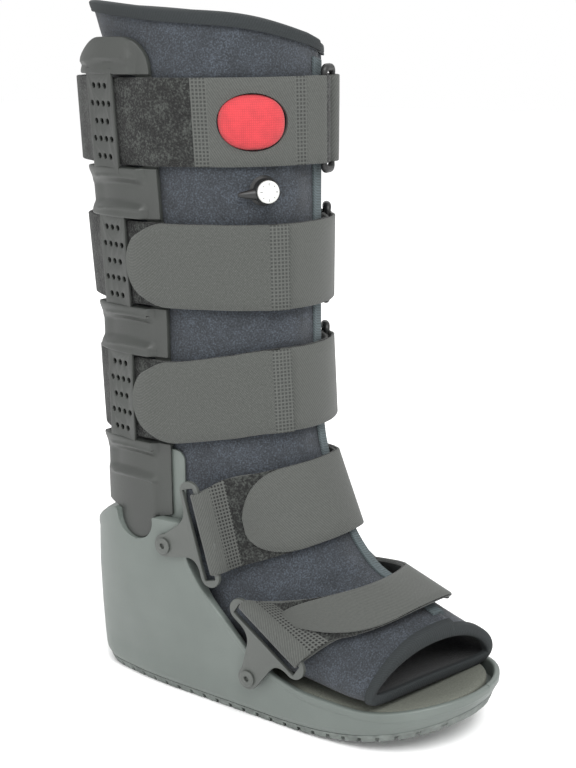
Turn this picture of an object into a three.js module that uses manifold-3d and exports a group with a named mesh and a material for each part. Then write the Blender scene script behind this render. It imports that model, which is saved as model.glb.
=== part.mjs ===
// A tall pneumatic walking boot, in millimetres: +Z up, toes towards -Y, the wearer's right side at -X.
// The origin lies on the ground, on the flat of the tread, below the side uprights.
import * as THREE from "three";
import { mergeVertices } from "three/addons/utils/BufferGeometryUtils.js";
import Module from "manifold-3d";

const wasm = await Module();
wasm.setup();

// Driving sizes.
const bootHeight = 431; // ground to the top edge of the liner at the back
const soleLength = 285;
const soleWidth = 117; // across the ball of the foot
const instepHeight = 165; // where the shin meets the foot
const shinLean = 5; // how much further forward the liner lies there
const heelBack = 69; // how far the heel reaches behind the origin
const calfWidth = 106; // outside of the liner, below the flare
const calfDepth = 128; // outside of the liner, front to back
const calfCentre = -22;
const rimFlare = 11; // how much wider each side of the liner is at its top
const linerWall = 6;
const flapStep = 3.5; // how proud the outer front flap lies
const clearance = 0.35;

const treadThick = 5;
const treadPitch = 11;
const treadGroove = 2.4;
const treadInset = 5; // of the tread's lower edge from the sole's outline
const soleInset = 3;
const toeSpring = 22;
const heelSpring = 6;
const floorHeight = 22;
const footbedThick = 4.6;
const shellWall = 3.4;
const collarThick = 8; // of the wall that holds the feet of the uprights
const rimHeight = 28;
const rimRise = 9; // how much higher the rim is at the tip of the toe
const collarHeight = 122;

const uprightFront = -23;
const uprightBack = 31;
const flangeThick = 2.2;
const uprightProud = 6.6; // outer face of the uprights, beyond the brace curve
const tabRise = 44; // how far the shell's tab stands above its collar
const tabTop = collarHeight + tabRise;
const tabFront = -31;

const strapWidth = 50.8;
const strapThick = 1.8;
const lowStrapRise = 74.5; // from the shell's collar to the middle of the lowest calf strap
const strapSpacing = 84.5; // between the middles of the calf straps
const strapMiddle = collarHeight + lowStrapRise + strapSpacing;
const frontRise = 10; // how much higher the lowest calf strap runs across the front
const windowSpare = 1.6; // a window is this much taller than its strap
const slotFront = -12;
const panelFront = 1;
const panelBack = 23;
const slotBack = 28;
const holeRadius = 1.7;
const holePitch = 10.4;

const barRadius = 1.8; // of the rings' bars
const ringSpare = 2.4; // between a strap's edge and the end of its ring
const ringCorner = 3.6;
const bracketThick = 3;
const bracketSlot = 5.2;
const slotCorner = 0.8;
const rivetRadius = 5.2;
const strapOver = flangeThick + 2 * clearance; // a strap's inner face over the uprights' flanges
const uprightCrown = 48.5; // from the middle of the top strap to the uprights' tops
const uprightTop = strapMiddle + strapSpacing + uprightCrown;
const panelBow = 1.3; // how far the straps bow out under the middle of a flat panel
const panelUnder = strapOver + strapThick + clearance + panelBow;
const panelProud = panelUnder + 2;

const pumpLength = 41;
const pumpHeight = 32;
const pumpDome = 6;
const valveAbove = 2.75; // from halfway between the upper two straps to the valve's middle
const valveRadius = 7.4;
const valveDeep = 8;
const dialRadius = 6.9;
const dialThick = 2.6;
const bindingThick = 1.6;
const bindingDeep = 8;
const bindingCrown = 1; // how much thicker the binding is over its edge

const DEG = Math.PI / 180;
const lerp = THREE.MathUtils.lerp;
const smooth = (x, low, high) => THREE.MathUtils.smoothstep(x, low, high);
const vec = (x, y, z) => new THREE.Vector3(x, y, z);

// Looks, as base colours only.
const looks = {
  plastic: { color: 0x5f6661, roughness: 0.5 },
  rubber: { color: 0x545b57, roughness: 0.8 },
  foam: { color: 0x6d6f68, roughness: 0.9 },
  fabric: { color: 0x3c4450, roughness: 1 },
  binding: { color: 0x3f4748, roughness: 0.9 },
  pile: { color: 0x33342f, roughness: 1 },
  webbing: { color: 0x4b4c47, roughness: 0.9 },
  black: { color: 0x1c1d1d, roughness: 0.4 },
  red: { color: 0xd13a48, roughness: 0.9 },
  white: { color: 0xf2f3f1, roughness: 0.4 },
};

// Meshes and solids

// A solid from sections with the same number of points, joined one to the next.
// A closed run joins the last section to the first; an open one has an end over each last section.
function loft(sections, closed = false, end = flatEnd) {
  const count = sections[0].length;
  const points = sections.flat();
  const faces = [];
  const rows = closed ? sections.length : sections.length - 1;
  for (let row = 0; row < rows; row++) {
    const next = (row + 1) % sections.length;
    for (let column = 0; column < count; column++) {
      const beside = (column + 1) % count;
      const a = row * count + column;
      const b = row * count + beside;
      const c = next * count + beside;
      const d = next * count + column;
      faces.push(a, b, c, a, c, d);
    }
  }
  if (!closed) {
    faces.push(...end(sections[0], 0, false));
    faces.push(...end(sections.at(-1), points.length - count, true));
  }
  return solidFrom(points, faces);
}

// The triangles that close one section, seen in the plane that it lies in.
function flatEnd(section, first, forward) {
  const normal = vec(0, 0, 0);
  section.forEach((point, i) => {
    const next = section[(i + 1) % section.length];
    normal.add(vec(0, 0, 0).crossVectors(point, next));
  });
  normal.normalize();
  const across = section[1].clone().sub(section[0]).normalize();
  const up = vec(0, 0, 0).crossVectors(normal, across);
  const flat = section.map((point) => new THREE.Vector2(point.dot(across), point.dot(up)));
  const order = forward ? [0, 1, 2] : [2, 1, 0];
  return THREE.ShapeUtils.triangulateShape(flat, []).flatMap((t) => order.map((k) => first + t[k]));
}

// The end over an outline of the sole: straight across from each point to its opposite.
function rungEnd(section, first, forward) {
  const count = section.length;
  const faces = [];
  for (let i = 0; i < count / 2; i++) {
    const left = (count - i) % count;
    if (i > 0) faces.push([i, i + 1, left]);
    if (i + 1 < count / 2) faces.push([i + 1, count - i - 1, left]);
  }
  return faces.flatMap((t) => (forward ? t : t.reverse()).map((k) => first + k));
}

function solidFrom(points, faces) {
  const vertices = new Float32Array(points.flatMap((p) => [p.x, p.y, p.z]));
  const made = new wasm.Manifold(
    new wasm.Mesh({ numProp: 3, vertProperties: vertices, triVerts: new Uint32Array(faces) }),
  );
  if (made.volume() > 0) return made;
  const turned = [];
  for (let i = 0; i < faces.length; i += 3) turned.push(faces[i], faces[i + 2], faces[i + 1]);
  return new wasm.Manifold(
    new wasm.Mesh({ numProp: 3, vertProperties: vertices, triVerts: new Uint32Array(turned) }),
  );
}

// A three.js geometry as a solid, placed by a matrix.
function solidOf(geometry, matrix = new THREE.Matrix4()) {
  const bare = geometry.clone().applyMatrix4(matrix);
  bare.deleteAttribute("normal");
  bare.deleteAttribute("uv");
  const merged = mergeVertices(bare, 1e-4);
  return new wasm.Manifold(
    new wasm.Mesh({
      numProp: 3,
      vertProperties: merged.attributes.position.array,
      triVerts: new Uint32Array(merged.index.array),
    }),
  );
}

function geometryOf(solid) {
  const mesh = solid.getMesh();
  const positions = new Float32Array(mesh.numVert * 3);
  for (let i = 0; i < mesh.numVert; i++) {
    positions.set(mesh.vertProperties.subarray(i * mesh.numProp, i * mesh.numProp + 3), i * 3);
  }
  const geometry = new THREE.BufferGeometry();
  geometry.setAttribute("position", new THREE.BufferAttribute(positions, 3));
  geometry.setIndex(new THREE.BufferAttribute(mesh.triVerts, 1));
  geometry.computeVertexNormals();
  return geometry;
}

const boot = new THREE.Group();

function add(name, solid, look) {
  const mesh = new THREE.Mesh(geometryOf(solid), new THREE.MeshStandardMaterial(looks[look]));
  mesh.name = name;
  boot.add(mesh);
  return solid;
}

// A frame with its z axis along the given direction and its y axis as near to +Z as it can be.
function frameAt(position, outward, upright = vec(0, 0, 1)) {
  const z = outward.clone().normalize();
  const x = vec(0, 0, 0).crossVectors(upright, z).normalize();
  const y = vec(0, 0, 0).crossVectors(z, x);
  return new THREE.Matrix4().makeBasis(x, y, z).setPosition(position);
}

// A turn brought between -180 and 180.
const wrapTurn = (turn) => ((turn + 540) % 360) - 180;

const mirrored = (solid) => solid.mirror([1, 0, 0]);

// The leg: plan curves at a height. The turn is 0 at the shin, -90 on the right, 180 at the back.

// Widening of the liner and of the brace towards the top.
const flareAt = (z) => rimFlare * smooth(z, strapMiddle - strapSpacing / 2, bootHeight);

// How far the front of the leg already leans forwards below the calf.
const instepLean = (z) => shinLean * smooth(-z, -1.24 * instepHeight, -0.97 * instepHeight);

function linerCurve(turn, z) {
  const half = calfWidth / 2 + flareAt(z);
  const c = Math.cos(turn * DEG);
  const lean = instepLean(z) * Math.max(0, c);
  return vec(half * Math.sin(turn * DEG), calfCentre - (calfDepth / 2) * c - lean, z);
}

// The curve that the uprights and the straps behind them follow: squarer than the liner.
const braceCentre = -9;
const braceDepth = 60;
const braceSquareness = 2.5;
const braceHalf = (z) => calfWidth / 2 + 0.6 + flareAt(z);

function braceCurve(turn, z) {
  const power = 2 / braceSquareness;
  const s = Math.sin(turn * DEG);
  const c = Math.cos(turn * DEG);
  const x = braceHalf(z) * Math.sign(s) * Math.abs(s) ** power;
  const y = braceCentre - braceDepth * Math.sign(c) * Math.abs(c) ** power;
  return vec(x, y, z);
}

const braceShare = (turn) => smooth(Math.abs(turn), 50, 75);

function wrapCurve(turn, z) {
  return linerCurve(turn, z).lerp(braceCurve(turn, z), braceShare(turn));
}

// A point of a plan curve, moved outwards by an offset.
function offsetPoint(curve, turn, z, offset) {
  const step = 0.5;
  const along = curve(turn + step, z).sub(curve(turn - step, z)).normalize();
  return curve(turn, z).add(vec(along.y, -along.x, 0).multiplyScalar(offset));
}

// The brace curve by its place along Y, on the right side.
function bracePoint(y, z, offset) {
  const share = Math.abs(y - braceCentre) / braceDepth;
  const half = braceHalf(z);
  const n = braceSquareness;
  const x = half * (1 - share ** n) ** (1 / n);
  const normal = vec(
    -(x ** (n - 1)) / half ** n,
    (Math.sign(y - braceCentre) * share ** (n - 1)) / braceDepth,
    0,
  ).normalize();
  return vec(-x, y, z).add(normal.multiplyScalar(offset));
}

// Sole: outline, rocker and rim

// along: share of the sole's length from the heel; half: share of its half width.
// collarAlong and collarHalf are the same point on the collar's edge.
const outlineRows = [
  { along: 0, half: 0, collarAlong: 0.024, collarHalf: 0 },
  { along: 0.008, half: 0.3, collarAlong: 0.03, collarHalf: 0.375 },
  { along: 0.036, half: 0.58, collarAlong: 0.055, collarHalf: 0.728 },
  { along: 0.075, half: 0.72, collarAlong: 0.09, collarHalf: 0.927 },
  { along: 0.16, half: 0.82, collarAlong: 0.16, collarHalf: 1.126 },
  { along: 0.25, half: 0.88, collarAlong: 0.25, collarHalf: 1.181 },
  { along: 0.36, half: 0.91, collarAlong: 0.36, collarHalf: 1.17 },
  { along: 0.48, half: 0.94, collarAlong: 0.48, collarHalf: 1.126 },
  { along: 0.6, half: 0.97, collarAlong: 0.6, collarHalf: 1.104 },
  { along: 0.72, half: 1, collarAlong: 0.72, collarHalf: 1.104 },
  { along: 0.82, half: 0.97, collarAlong: 0.82, collarHalf: 1.071 },
  { along: 0.9, half: 0.83, collarAlong: 0.9, collarHalf: 0.916 },
  { along: 0.955, half: 0.6, collarAlong: 0.955, collarHalf: 0.662 },
  { along: 0.99, half: 0.3, collarAlong: 0.99, collarHalf: 0.331 },
  { along: 1, half: 0, collarAlong: 1, collarHalf: 0 },
];

// The closed outline in plan at a share of the way up to the collar, moved inwards by an inset.
function outlineAt(up, inset, steps = 32) {
  const rightSide = outlineRows.map((row) =>
    vec(
      -lerp((soleWidth / 2) * row.half, (calfWidth / 2) * row.collarHalf, up),
      heelBack - soleLength * lerp(row.along, row.collarAlong, up),
      0,
    ),
  );
  const leftSide = rightSide.slice(1, -1).reverse().map((p) => vec(-p.x, p.y, 0));
  const curve = new THREE.CatmullRomCurve3([...rightSide, ...leftSide], true, "centripetal");
  return Array.from({ length: steps }, (_, i) => {
    const at = curve.getPoint(i / steps);
    const tangent = curve.getTangent(i / steps);
    return at.add(vec(-tangent.y, tangent.x, 0).normalize().multiplyScalar(inset));
  });
}

const rockerToe = 0.58; // where the sole starts to rise, as a share of its length
const rockerHeel = 0.09;

function groundAt(y) {
  const along = (heelBack - y) / soleLength;
  const toe = Math.max(0, (along - rockerToe) / (1 - rockerToe));
  const heel = Math.max(0, (rockerHeel - along) / rockerHeel);
  return toeSpring * toe ** 2 + heelSpring * heel ** 2;
}

const rimShare = (y) => smooth((heelBack - y) / soleLength, 0.8, 1.03);
const rimAt = (y) => rimHeight + rimRise * rimShare(y);
const floorAt = (y) => floorHeight + rimRise * rimShare(y);

const ringAt = (outline, height) => outline.map((p) => vec(p.x, p.y, height(p.y)));

function makeOutsole() {
  const bottom = ringAt(outlineAt(0, treadInset), groundAt);
  const top = ringAt(outlineAt(0, soleInset), (y) => groundAt(y) + treadThick);
  let tread = loft([bottom, top], false, rungEnd);
  const first = Math.ceil((heelBack - soleLength) / treadPitch);
  const last = Math.floor(heelBack / treadPitch);
  for (let i = first; i < last; i++) {
    const y = (i + 0.5) * treadPitch;
    const groove = new THREE.BoxGeometry(soleWidth * 1.2, treadGroove, treadGroove * 2);
    const place = new THREE.Matrix4().makeTranslation(0, y, groundAt(y));
    tread = tread.subtract(solidOf(groove, place));
  }
  return tread;
}

// The edge of the shell seen from the side, from the back of the heel to the toe.
// along: share of the sole's length; up: share of the way from the rim to the collar.
const wallRows = [
  { along: -0.05, up: 0.82 },
  { along: 0.06, up: 0.82 },
  { along: 0.13, up: 0.96 },
  { along: 0.16, up: 1 },
  { along: 0.363, up: 1 },
  { along: 0.374, up: 0.74 },
  { along: 0.4, up: 0.6 },
  { along: 0.445, up: 0.44 },
  { along: 0.52, up: 0.21 },
  { along: 0.59, up: 0.075 },
  { along: 0.66, up: 0.02 },
  { along: 0.8, up: 0 },
];

// A closed profile in Y and Z, run across the whole width.
function acrossWidth(profile, halfWidth) {
  return loft([-halfWidth, halfWidth].map((x) => profile.map((p) => vec(x, p.y, p.z))));
}

function aboveWalls() {
  const edge = wallRows.map((row) => {
    const y = heelBack - soleLength * row.along;
    return vec(0, y, lerp(rimHeight, collarHeight, row.up));
  });
  for (let share = 0.84; share < 1.06; share += 0.03) {
    const y = heelBack - soleLength * share;
    edge.push(vec(0, y, rimAt(y)));
  }
  const high = collarHeight + 60;
  return acrossWidth([...edge, vec(0, edge.at(-1).y, high), vec(0, edge[0].y, high)], soleWidth);
}

function makeSocketTab() {
  const sections = [collarHeight - 30, tabTop].map((z) => {
    return plateSection(tabFront, uprightBack - 4, z, clearance, flangeThick);
  });
  const rounded = roundHull([
    { y: tabFront + 7, z: tabTop - 7, radius: 7 },
    { y: uprightBack - 11, z: tabTop - 7, radius: 7 },
    { y: tabFront + 1, z: collarHeight - 34, radius: 1 },
    { y: uprightBack - 5, z: collarHeight - 34, radius: 1 },
  ]);
  return loft(sections).intersect(sidePlate(rounded, 0, soleWidth));
}

// Where along Y the facets of the brace meet, for all that lies on it.
const braceJoints = [-34, -23.5, -11, 1, 12, 23, 28, 33, 38];

// One level of a curved plate that follows the brace: its outer edge, then its inner edge.
function plateSection(front, back, z, inner, outer) {
  const places = [front, ...braceJoints.filter((y) => y > front + 1 && y < back - 1), back];
  return [
    ...places.map((y) => bracePoint(y, z, outer)),
    ...places.reverse().map((y) => bracePoint(y, z, inner)),
  ];
}

function makeShell(legSpace, uprightSpace) {
  const levels = [
    { up: 0, inset: soleInset, height: (y) => groundAt(y) + treadThick + clearance },
    { up: 0, inset: 0.8, height: (y) => groundAt(y) + treadThick + 4 },
    { up: 0, inset: 0, height: (y) => Math.max(rimAt(y) - 6, groundAt(y) + treadThick + 6) },
    { up: 0.3, inset: -1, height: (y) => rimAt(y) + 16 },
    { up: 0.62, inset: -1.6, height: () => 0.607 * collarHeight },
    { up: 0.85, inset: -1, height: () => 0.803 * collarHeight },
    { up: 1, inset: 0, height: () => collarHeight + 1 },
  ];
  const outside = loft(levels.map((l) => ringAt(outlineAt(l.up, l.inset), l.height)), false, rungEnd);
  const hollowLevels = [
    { up: 0, inset: shellWall, height: floorAt },
    { up: 0.3, inset: shellWall - 1, height: (y) => rimAt(y) + 16 },
    { up: 0.62, inset: shellWall, height: () => 0.607 * collarHeight },
    { up: 0.85, inset: collarThick, height: () => 0.738 * collarHeight },
    { up: 1, inset: collarThick, height: () => collarHeight + 2 },
  ];
  const hollow = loft(hollowLevels.map((l) => ringAt(outlineAt(l.up, l.inset), l.height)), false, rungEnd);
  const tab = makeSocketTab();
  return outside
    .subtract(hollow)
    .subtract(aboveWalls())
    .add(tab)
    .add(mirrored(tab))
    .subtract(legSpace)
    .subtract(uprightSpace)
    .subtract(mirrored(uprightSpace));
}

function makeFootbed() {
  const inset = shellWall + 4;
  const bottom = ringAt(outlineAt(0, inset), (y) => floorAt(y) + clearance);
  const edge = ringAt(outlineAt(0, inset), (y) => floorAt(y) + footbedThick - 1.6);
  const top = ringAt(outlineAt(0, inset + 1.6), (y) => floorAt(y) + footbedThick);
  return loft([bottom, edge, top], false, rungEnd);
}

// Liner

// Rows of the calf: up is a share of the boot's height, and drop lowers the front edge.
const calfRows = [
  { up: 1, drop: 20, size: 1 },
  { up: 0.97, drop: 16, size: 1 },
  { up: 0.9, drop: 4, size: 1 },
  { up: 0.78, drop: 0, size: 1 },
  { up: 0.66, drop: 0, size: 1 },
  { up: 0.55, drop: 0, size: 1 },
  { up: 0.465, drop: -3, size: 1 },
];

// Rows of the ankle and foot. Along is a share of the sole's length from the heel, up of the instep's height.
// front is a share of the way from the shin to the toe opening; half is a share of half the calf's or sole's width.
const footRows = [
  { front: 0.023, frontUp: 1.08, backAlong: 0.092, backUp: 0.95, half: 0.993, middle: 0, skew: 0 },
  { front: 0.06, frontUp: 0.97, backAlong: 0.07, backUp: 0.72, half: 0.977, middle: 0, skew: 0 },
  { front: 0.151, frontUp: 0.815, backAlong: 0.034, backUp: 0.47, half: 0.949, middle: 0, skew: 0 },
  { front: 0.24, frontUp: 0.7, backAlong: 0.034, backUp: 0.29, half: 0.927, middle: 0, skew: 0 },
  { front: 0.317, frontUp: 0.625, backAlong: 0.085, backUp: 0.172, half: 0.83, middle: 0, skew: 0 },
  { front: 0.416, frontUp: 0.56, backAlong: 0.2, backUp: 0.166, half: 0.83, middle: 0, skew: 0 },
  { front: 0.507, frontUp: 0.525, backAlong: 0.33, backUp: 0.166, half: 0.84, middle: 0, skew: 0 },
  { front: 0.616, frontUp: 0.495, backAlong: 0.48, backUp: 0.168, half: 0.86, middle: 0, skew: 0.2 },
  { front: 0.758, frontUp: 0.465, backAlong: 0.65, backUp: 0.17, half: 0.87, middle: -0.02, skew: 0.5 },
  { front: 0.9, frontUp: 0.445, backAlong: 0.8, backUp: 0.182, half: 0.87, middle: -0.08, skew: 0.85 },
  { front: 1, frontUp: 0.43, backAlong: 0.875, backUp: 0.196, half: 0.86, middle: -0.13, skew: 1 },
];
const toeOpening = 0.895; // where the toe opening lies, as a share of the sole's length
const toeSkew = 13; // how much further forward the toe opening reaches on its left side
const ankleRows = 4; // the first rows follow the width of the calf, the others that of the sole
const footSquareness = 0.72;

// Each row as lengths: the two ends of its section seen from the side, and its half width.
const linerRows = [
  ...calfRows.map((row) => {
    const z = row.up * bootHeight;
    return {
      frontY: calfCentre - (calfDepth / 2) * row.size,
      frontZ: z - row.drop,
      backY: calfCentre + (calfDepth / 2) * row.size,
      backZ: z,
      half: calfWidth / 2 + flareAt(z),
      middle: 0,
      skew: 0,
      square: 0,
    };
  }),
  ...footRows.map((row, i) => ({
    frontY: lerp(calfCentre - calfDepth / 2, heelBack - toeOpening * soleLength, row.front),
    frontZ: instepHeight * row.frontUp,
    backY: heelBack - soleLength * row.backAlong,
    backZ: instepHeight * row.backUp,
    half: ((i < ankleRows ? calfWidth : soleWidth) / 2) * row.half,
    middle: (soleWidth / 2) * row.middle,
    skew: toeSkew * row.skew,
    square: smooth(i, 1, 6),
  })),
];

// A row between two rows of the table, on a smooth curve through them.
function linerRow(place) {
  const last = linerRows.length - 1;
  const i = Math.min(Math.floor(place), last - 1);
  const t = place - i;
  const at = (k) => linerRows[THREE.MathUtils.clamp(k, 0, last)];
  const blended = {};
  for (const key of Object.keys(linerRows[0])) {
    const [a, b, c, d] = [at(i - 1)[key], at(i)[key], at(i + 1)[key], at(i + 2)[key]];
    const curve = 2 * b + (c - a) * t + (2 * a - 5 * b + 4 * c - d) * t ** 2 + (3 * b - a - 3 * c + d) * t ** 3;
    blended[key] = curve / 2;
  }
  return blended;
}

const flapEdge = 9; // turn at which the outer flap ends, left of the shin
const flapRoot = -70;

// How proud the outer flap lies at a turn.
function flapProud(turn) {
  return flapStep * smooth(turn, flapRoot, -20) * (1 - smooth(turn, flapEdge, flapEdge + 1.5));
}

// A point of the liner: its row, the turn round the row, and how far it lies outside the surface.
function linerPoint(place, turn, offset) {
  const row = linerRow(place);
  const s = Math.sin(turn * DEG);
  const c = Math.cos(turn * DEG);
  const power = lerp(1, footSquareness, row.square * (c < 0 ? 1 : 0.35));
  const sideways = Math.sign(s) * Math.abs(s) ** power;
  const front = vec(0, row.frontY, row.frontZ);
  const back = vec(0, row.backY, row.backZ);
  const middle = front.clone().lerp(back, 0.5);
  const reach = front.sub(middle);
  const deep = reach.length();
  const axis = reach.normalize();
  const outward = vec(s * deep, 0, 0).addScaledVector(axis, c * row.half).normalize();
  return middle
    .addScaledVector(axis, c * deep)
    .add(vec(row.middle + sideways * row.half, -row.skew * sideways, 0))
    .addScaledVector(outward, offset);
}

const linerTurns = [0, 1.6, ...Array.from({ length: 24 }, (_, i) => (360 * (i + 1)) / 25)].map(
  (turn) => wrapTurn(turn + flapEdge),
);

// Columns of points down the liner, one for each turn.
function linerGrid(offsetAt) {
  return linerTurns.map((turn) => linerRows.map((_, row) => linerPoint(row, turn, offsetAt(turn))));
}

function makeLiner() {
  const outer = linerGrid(flapProud);
  const inner = linerGrid(() => -linerWall);
  return loft(outer.map((column, j) => [...column, ...inner[j].reverse()]), true);
}

// The room that the liner takes up, filled, for clearing what lies round it.
function makeLegSpace() {
  const columns = linerGrid(() => clearance);
  const rows = columns[0].map((_, i) => columns.map((column) => column[i]));
  return loft(rows);
}

// A tape folded over an edge of the liner: its top at row 0, or its toe at the last row.
function makeBinding(atToe) {
  const end = atToe ? linerRows.length - 1 : 0;
  const inward = atToe ? -1 : 1;
  const deep = 0.32 * inward;
  const columns = linerTurns.map((turn) => {
    const proud = flapProud(turn);
    const edge = (offset, beyond) => {
      const point = linerPoint(end, turn, offset);
      const away = point.clone().sub(linerPoint(end + deep, turn, offset)).normalize();
      return point.addScaledVector(away, beyond);
    };
    const leg = (offset) => {
      const point = linerPoint(end, turn, offset);
      const away = point.clone().sub(linerPoint(end + deep, turn, offset)).normalize();
      return point.addScaledVector(away, -bindingDeep);
    };
    const out = proud + clearance;
    const inn = -linerWall - clearance;
    return [
      leg(out + bindingThick),
      edge(out + bindingThick, 0),
      edge((out + inn) / 2, bindingThick + clearance + bindingCrown),
      edge(inn - bindingThick, 0),
      leg(inn - bindingThick),
      leg(inn),
      edge(inn, clearance),
      edge(out, clearance),
      leg(out),
    ];
  });
  return loft(columns, true);
}

// The tape along the outer flap's edge, down the shin and over the instep.
function makeFrontTape() {
  const rows = linerRows.length - 1;
  const sections = [];
  for (let i = 1; i < rows; i++) {
    const place = THREE.MathUtils.clamp(i, 1.08, rows - 0.94);
    const at = (turn, offset) => linerPoint(place, turn, offset);
    const proud = flapStep + clearance;
    sections.push([
      at(flapEdge - 7, proud),
      at(flapEdge - 7, proud + bindingThick),
      at(flapEdge + 1, proud + bindingThick),
      at(flapEdge + 4, proud - 1),
      at(flapEdge + 4, clearance),
      at(flapEdge + 2.2, clearance),
      at(flapEdge + 1, proud),
    ]);
  }
  return loft(sections);
}

// Uprights

const windowMiddles = [strapMiddle + strapSpacing, strapMiddle, strapMiddle - strapSpacing];
const windowHalf = strapWidth / 2 + windowSpare;
const scoopDeep = 2.6;
const ribHigh = 0.9;

// Distance of the upright's outer face from the brace curve at a height.
function uprightRelief(z) {
  if (windowMiddles.some((middle) => Math.abs(z - middle) < windowHalf)) return flangeThick;
  const above = windowMiddles.find((middle) => z < middle - windowHalf) ?? null;
  const gap = strapSpacing - 2 * windowHalf;
  const belowTop = windowMiddles.map((middle) => middle - windowHalf - z).filter((d) => d > 0);
  if (above === null) return uprightProud + 2 - 3.2 * smooth(z, uprightTop - 14, uprightTop);
  const down = Math.min(...belowTop);
  if (down > gap) return uprightProud;
  const share = down / gap;
  const scoop = scoopDeep * smooth(share, 0.28, 0.42) * (1 - smooth(share, 0.6, 0.76));
  const rib = ribHigh * (Math.exp(-(((share - 0.24) / 0.07) ** 2)) + Math.exp(-(((share - 0.8) / 0.07) ** 2)));
  return uprightProud - scoop + rib;
}

// The upright seen from the side: a rounded top, straight edges, and a tongue that ends in the shell.
function uprightSilhouette(spare) {
  const middle = (uprightFront + uprightBack) / 2;
  const crown = 19;
  const foot = { radius: 1.5 + spare, z: collarHeight + 1.5 };
  const plate = roundHull(
    [
      { y: uprightFront + crown, z: uprightTop - crown, radius: crown + spare },
      { y: uprightBack - crown, z: uprightTop - crown, radius: crown + spare },
      { y: uprightFront + 1.5, ...foot },
      { y: uprightBack - 1.5, ...foot },
    ],
    14,
  );
  const tongue = roundHull([
    { y: middle - 1, z: collarHeight - 3.5, radius: 13.5 + spare },
    { y: middle - 1, z: collarHeight + 10, radius: 13.5 + spare },
  ]);
  return sidePlate(plate, 0, soleWidth).add(sidePlate(tongue, 0, soleWidth));
}

function uprightHeights() {
  const heights = [];
  heights.push(104, collarHeight, tabTop + 1, tabTop + 1.5);
  for (const middle of [...windowMiddles].reverse()) {
    for (const side of [-1, 1]) {
      heights.push(middle + side * (windowHalf + 0.01), middle + side * (windowHalf - 0.01));
    }
  }
  const gap = strapSpacing - 2 * windowHalf;
  for (const middle of windowMiddles.slice(0, 2)) {
    for (const share of [0.16, 0.26, 0.42, 0.6, 0.78]) {
      heights.push(middle - windowHalf - share * gap);
    }
  }
  for (const drop of [0, 2, 6, 12, 20]) heights.push(uprightTop - drop);
  return heights.sort((a, b) => a - b);
}

function makeUpright() {
  const inner = (z) => (z < tabTop + 1.2 ? flangeThick + clearance : clearance);
  const levels = uprightHeights().map((z) => {
    return plateSection(uprightFront, uprightBack, z, inner(z), uprightRelief(z));
  });
  let upright = loft(levels).intersect(uprightSilhouette(0));
  for (const middle of windowMiddles) {
    const low = middle - windowHalf;
    const high = middle + windowHalf;
    const opening = [low, high].map((z) => plateSection(slotFront, slotBack, z, -4, flangeThick + 3));
    upright = upright.subtract(loft(opening)).add(makePanel(middle));
  }
  return upright;
}

// The flat panel that bridges a window over the strap, with rows of three and four holes.
function makePanel(middle) {
  const tall = 2 * windowHalf + 8;
  const corner = (y, z) => bracePoint(y, z, panelUnder);
  const back = corner(panelBack, middle);
  const front = corner(panelFront, middle);
  const up = corner(panelFront, middle + tall / 2).sub(corner(panelFront, middle - tall / 2)).normalize();
  const outward = vec(0, 0, 0).crossVectors(up, back.clone().sub(front)).normalize();
  const wide = front.distanceTo(back);
  const shape = new THREE.Shape();
  shape.moveTo(-wide / 2, -tall / 2);
  shape.lineTo(wide / 2, -tall / 2);
  shape.lineTo(wide / 2, tall / 2);
  shape.lineTo(-wide / 2, tall / 2);
  for (let row = -2; row <= 2; row++) {
    const count = row % 2 === 0 ? 3 : 4;
    for (let i = 0; i < count; i++) {
      const across = ((i - (count - 1) / 2) * wide) / 4.5;
      const edge = [0, 1, 2, 3, 4].map((k) => {
        const angle = (-k * 2 * Math.PI) / 5;
        return new THREE.Vector2(
          across + holeRadius * Math.sin(angle),
          row * holePitch + holeRadius * Math.cos(angle),
        );
      });
      shape.holes.push(new THREE.Path(edge));
    }
  }
  const plate = new THREE.ExtrudeGeometry(shape, {
    depth: panelProud - panelUnder,
    bevelEnabled: false,
    curveSegments: 5,
  });
  return solidOf(plate, frameAt(front.lerp(back, 0.5), outward, up));
}

// Straps and rings

// A band between two lines, its upper and its lower edge.
function ribbon(upper, lower, thick = strapThick) {
  const outAt = (line, i) => {
    const along = line[Math.min(i + 1, line.length - 1)].clone().sub(line[Math.max(i - 1, 0)]);
    return vec(0, 0, 0).crossVectors(along, upper[i].clone().sub(lower[i])).normalize();
  };
  return loft(
    upper.map((high, i) => {
      const highOut = outAt(upper, i).multiplyScalar(thick / 2);
      const lowOut = outAt(lower, i).multiplyScalar(thick / 2);
      return [
        high.clone().sub(highOut),
        high.clone().add(highOut),
        lower[i].clone().add(lowOut),
        lower[i].clone().sub(lowOut),
      ];
    }),
  );
}

const tapeProud = bindingThick + clearance;

// Height above the liner that clears the flap and the tape along its edge.
const flapClear = (turn) =>
  (flapStep + tapeProud) * smooth(turn, flapRoot, -12) * (1 - smooth(turn, flapEdge + 4, 34));

// The lowest offset from the wrap curve that clears the flap, its edge tape and the uprights.
function layerOffset(turn) {
  const brace = (strapOver - 2 * clearance) * braceShare(turn);
  return 2 * clearance + 0.25 + Math.max(flapClear(turn), brace);
}

const layerStep = strapThick + clearance;
const foldRadius = barRadius + clearance + strapThick / 2;

const linePoint = (turn, z, offset) => offsetPoint(wrapCurve, turn, z, layerOffset(turn) + offset);

// Half a turn of a strap round a bar, from its inner side to its outer side.
function foldLine(turn, z, way, steps = 4) {
  const inner = linePoint(turn, z, strapThick / 2);
  const out = offsetPoint(wrapCurve, turn, z, 1).sub(wrapCurve(turn, z));
  const along = vec(-out.y, out.x, 0).multiplyScalar(way);
  const middle = inner.addScaledVector(out, foldRadius);
  return Array.from({ length: steps + 1 }, (_, i) => {
    const angle = (Math.PI * i) / steps;
    return middle
      .clone()
      .addScaledVector(out, -foldRadius * Math.cos(angle))
      .addScaledVector(along, foldRadius * Math.sin(angle));
  });
}

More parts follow.
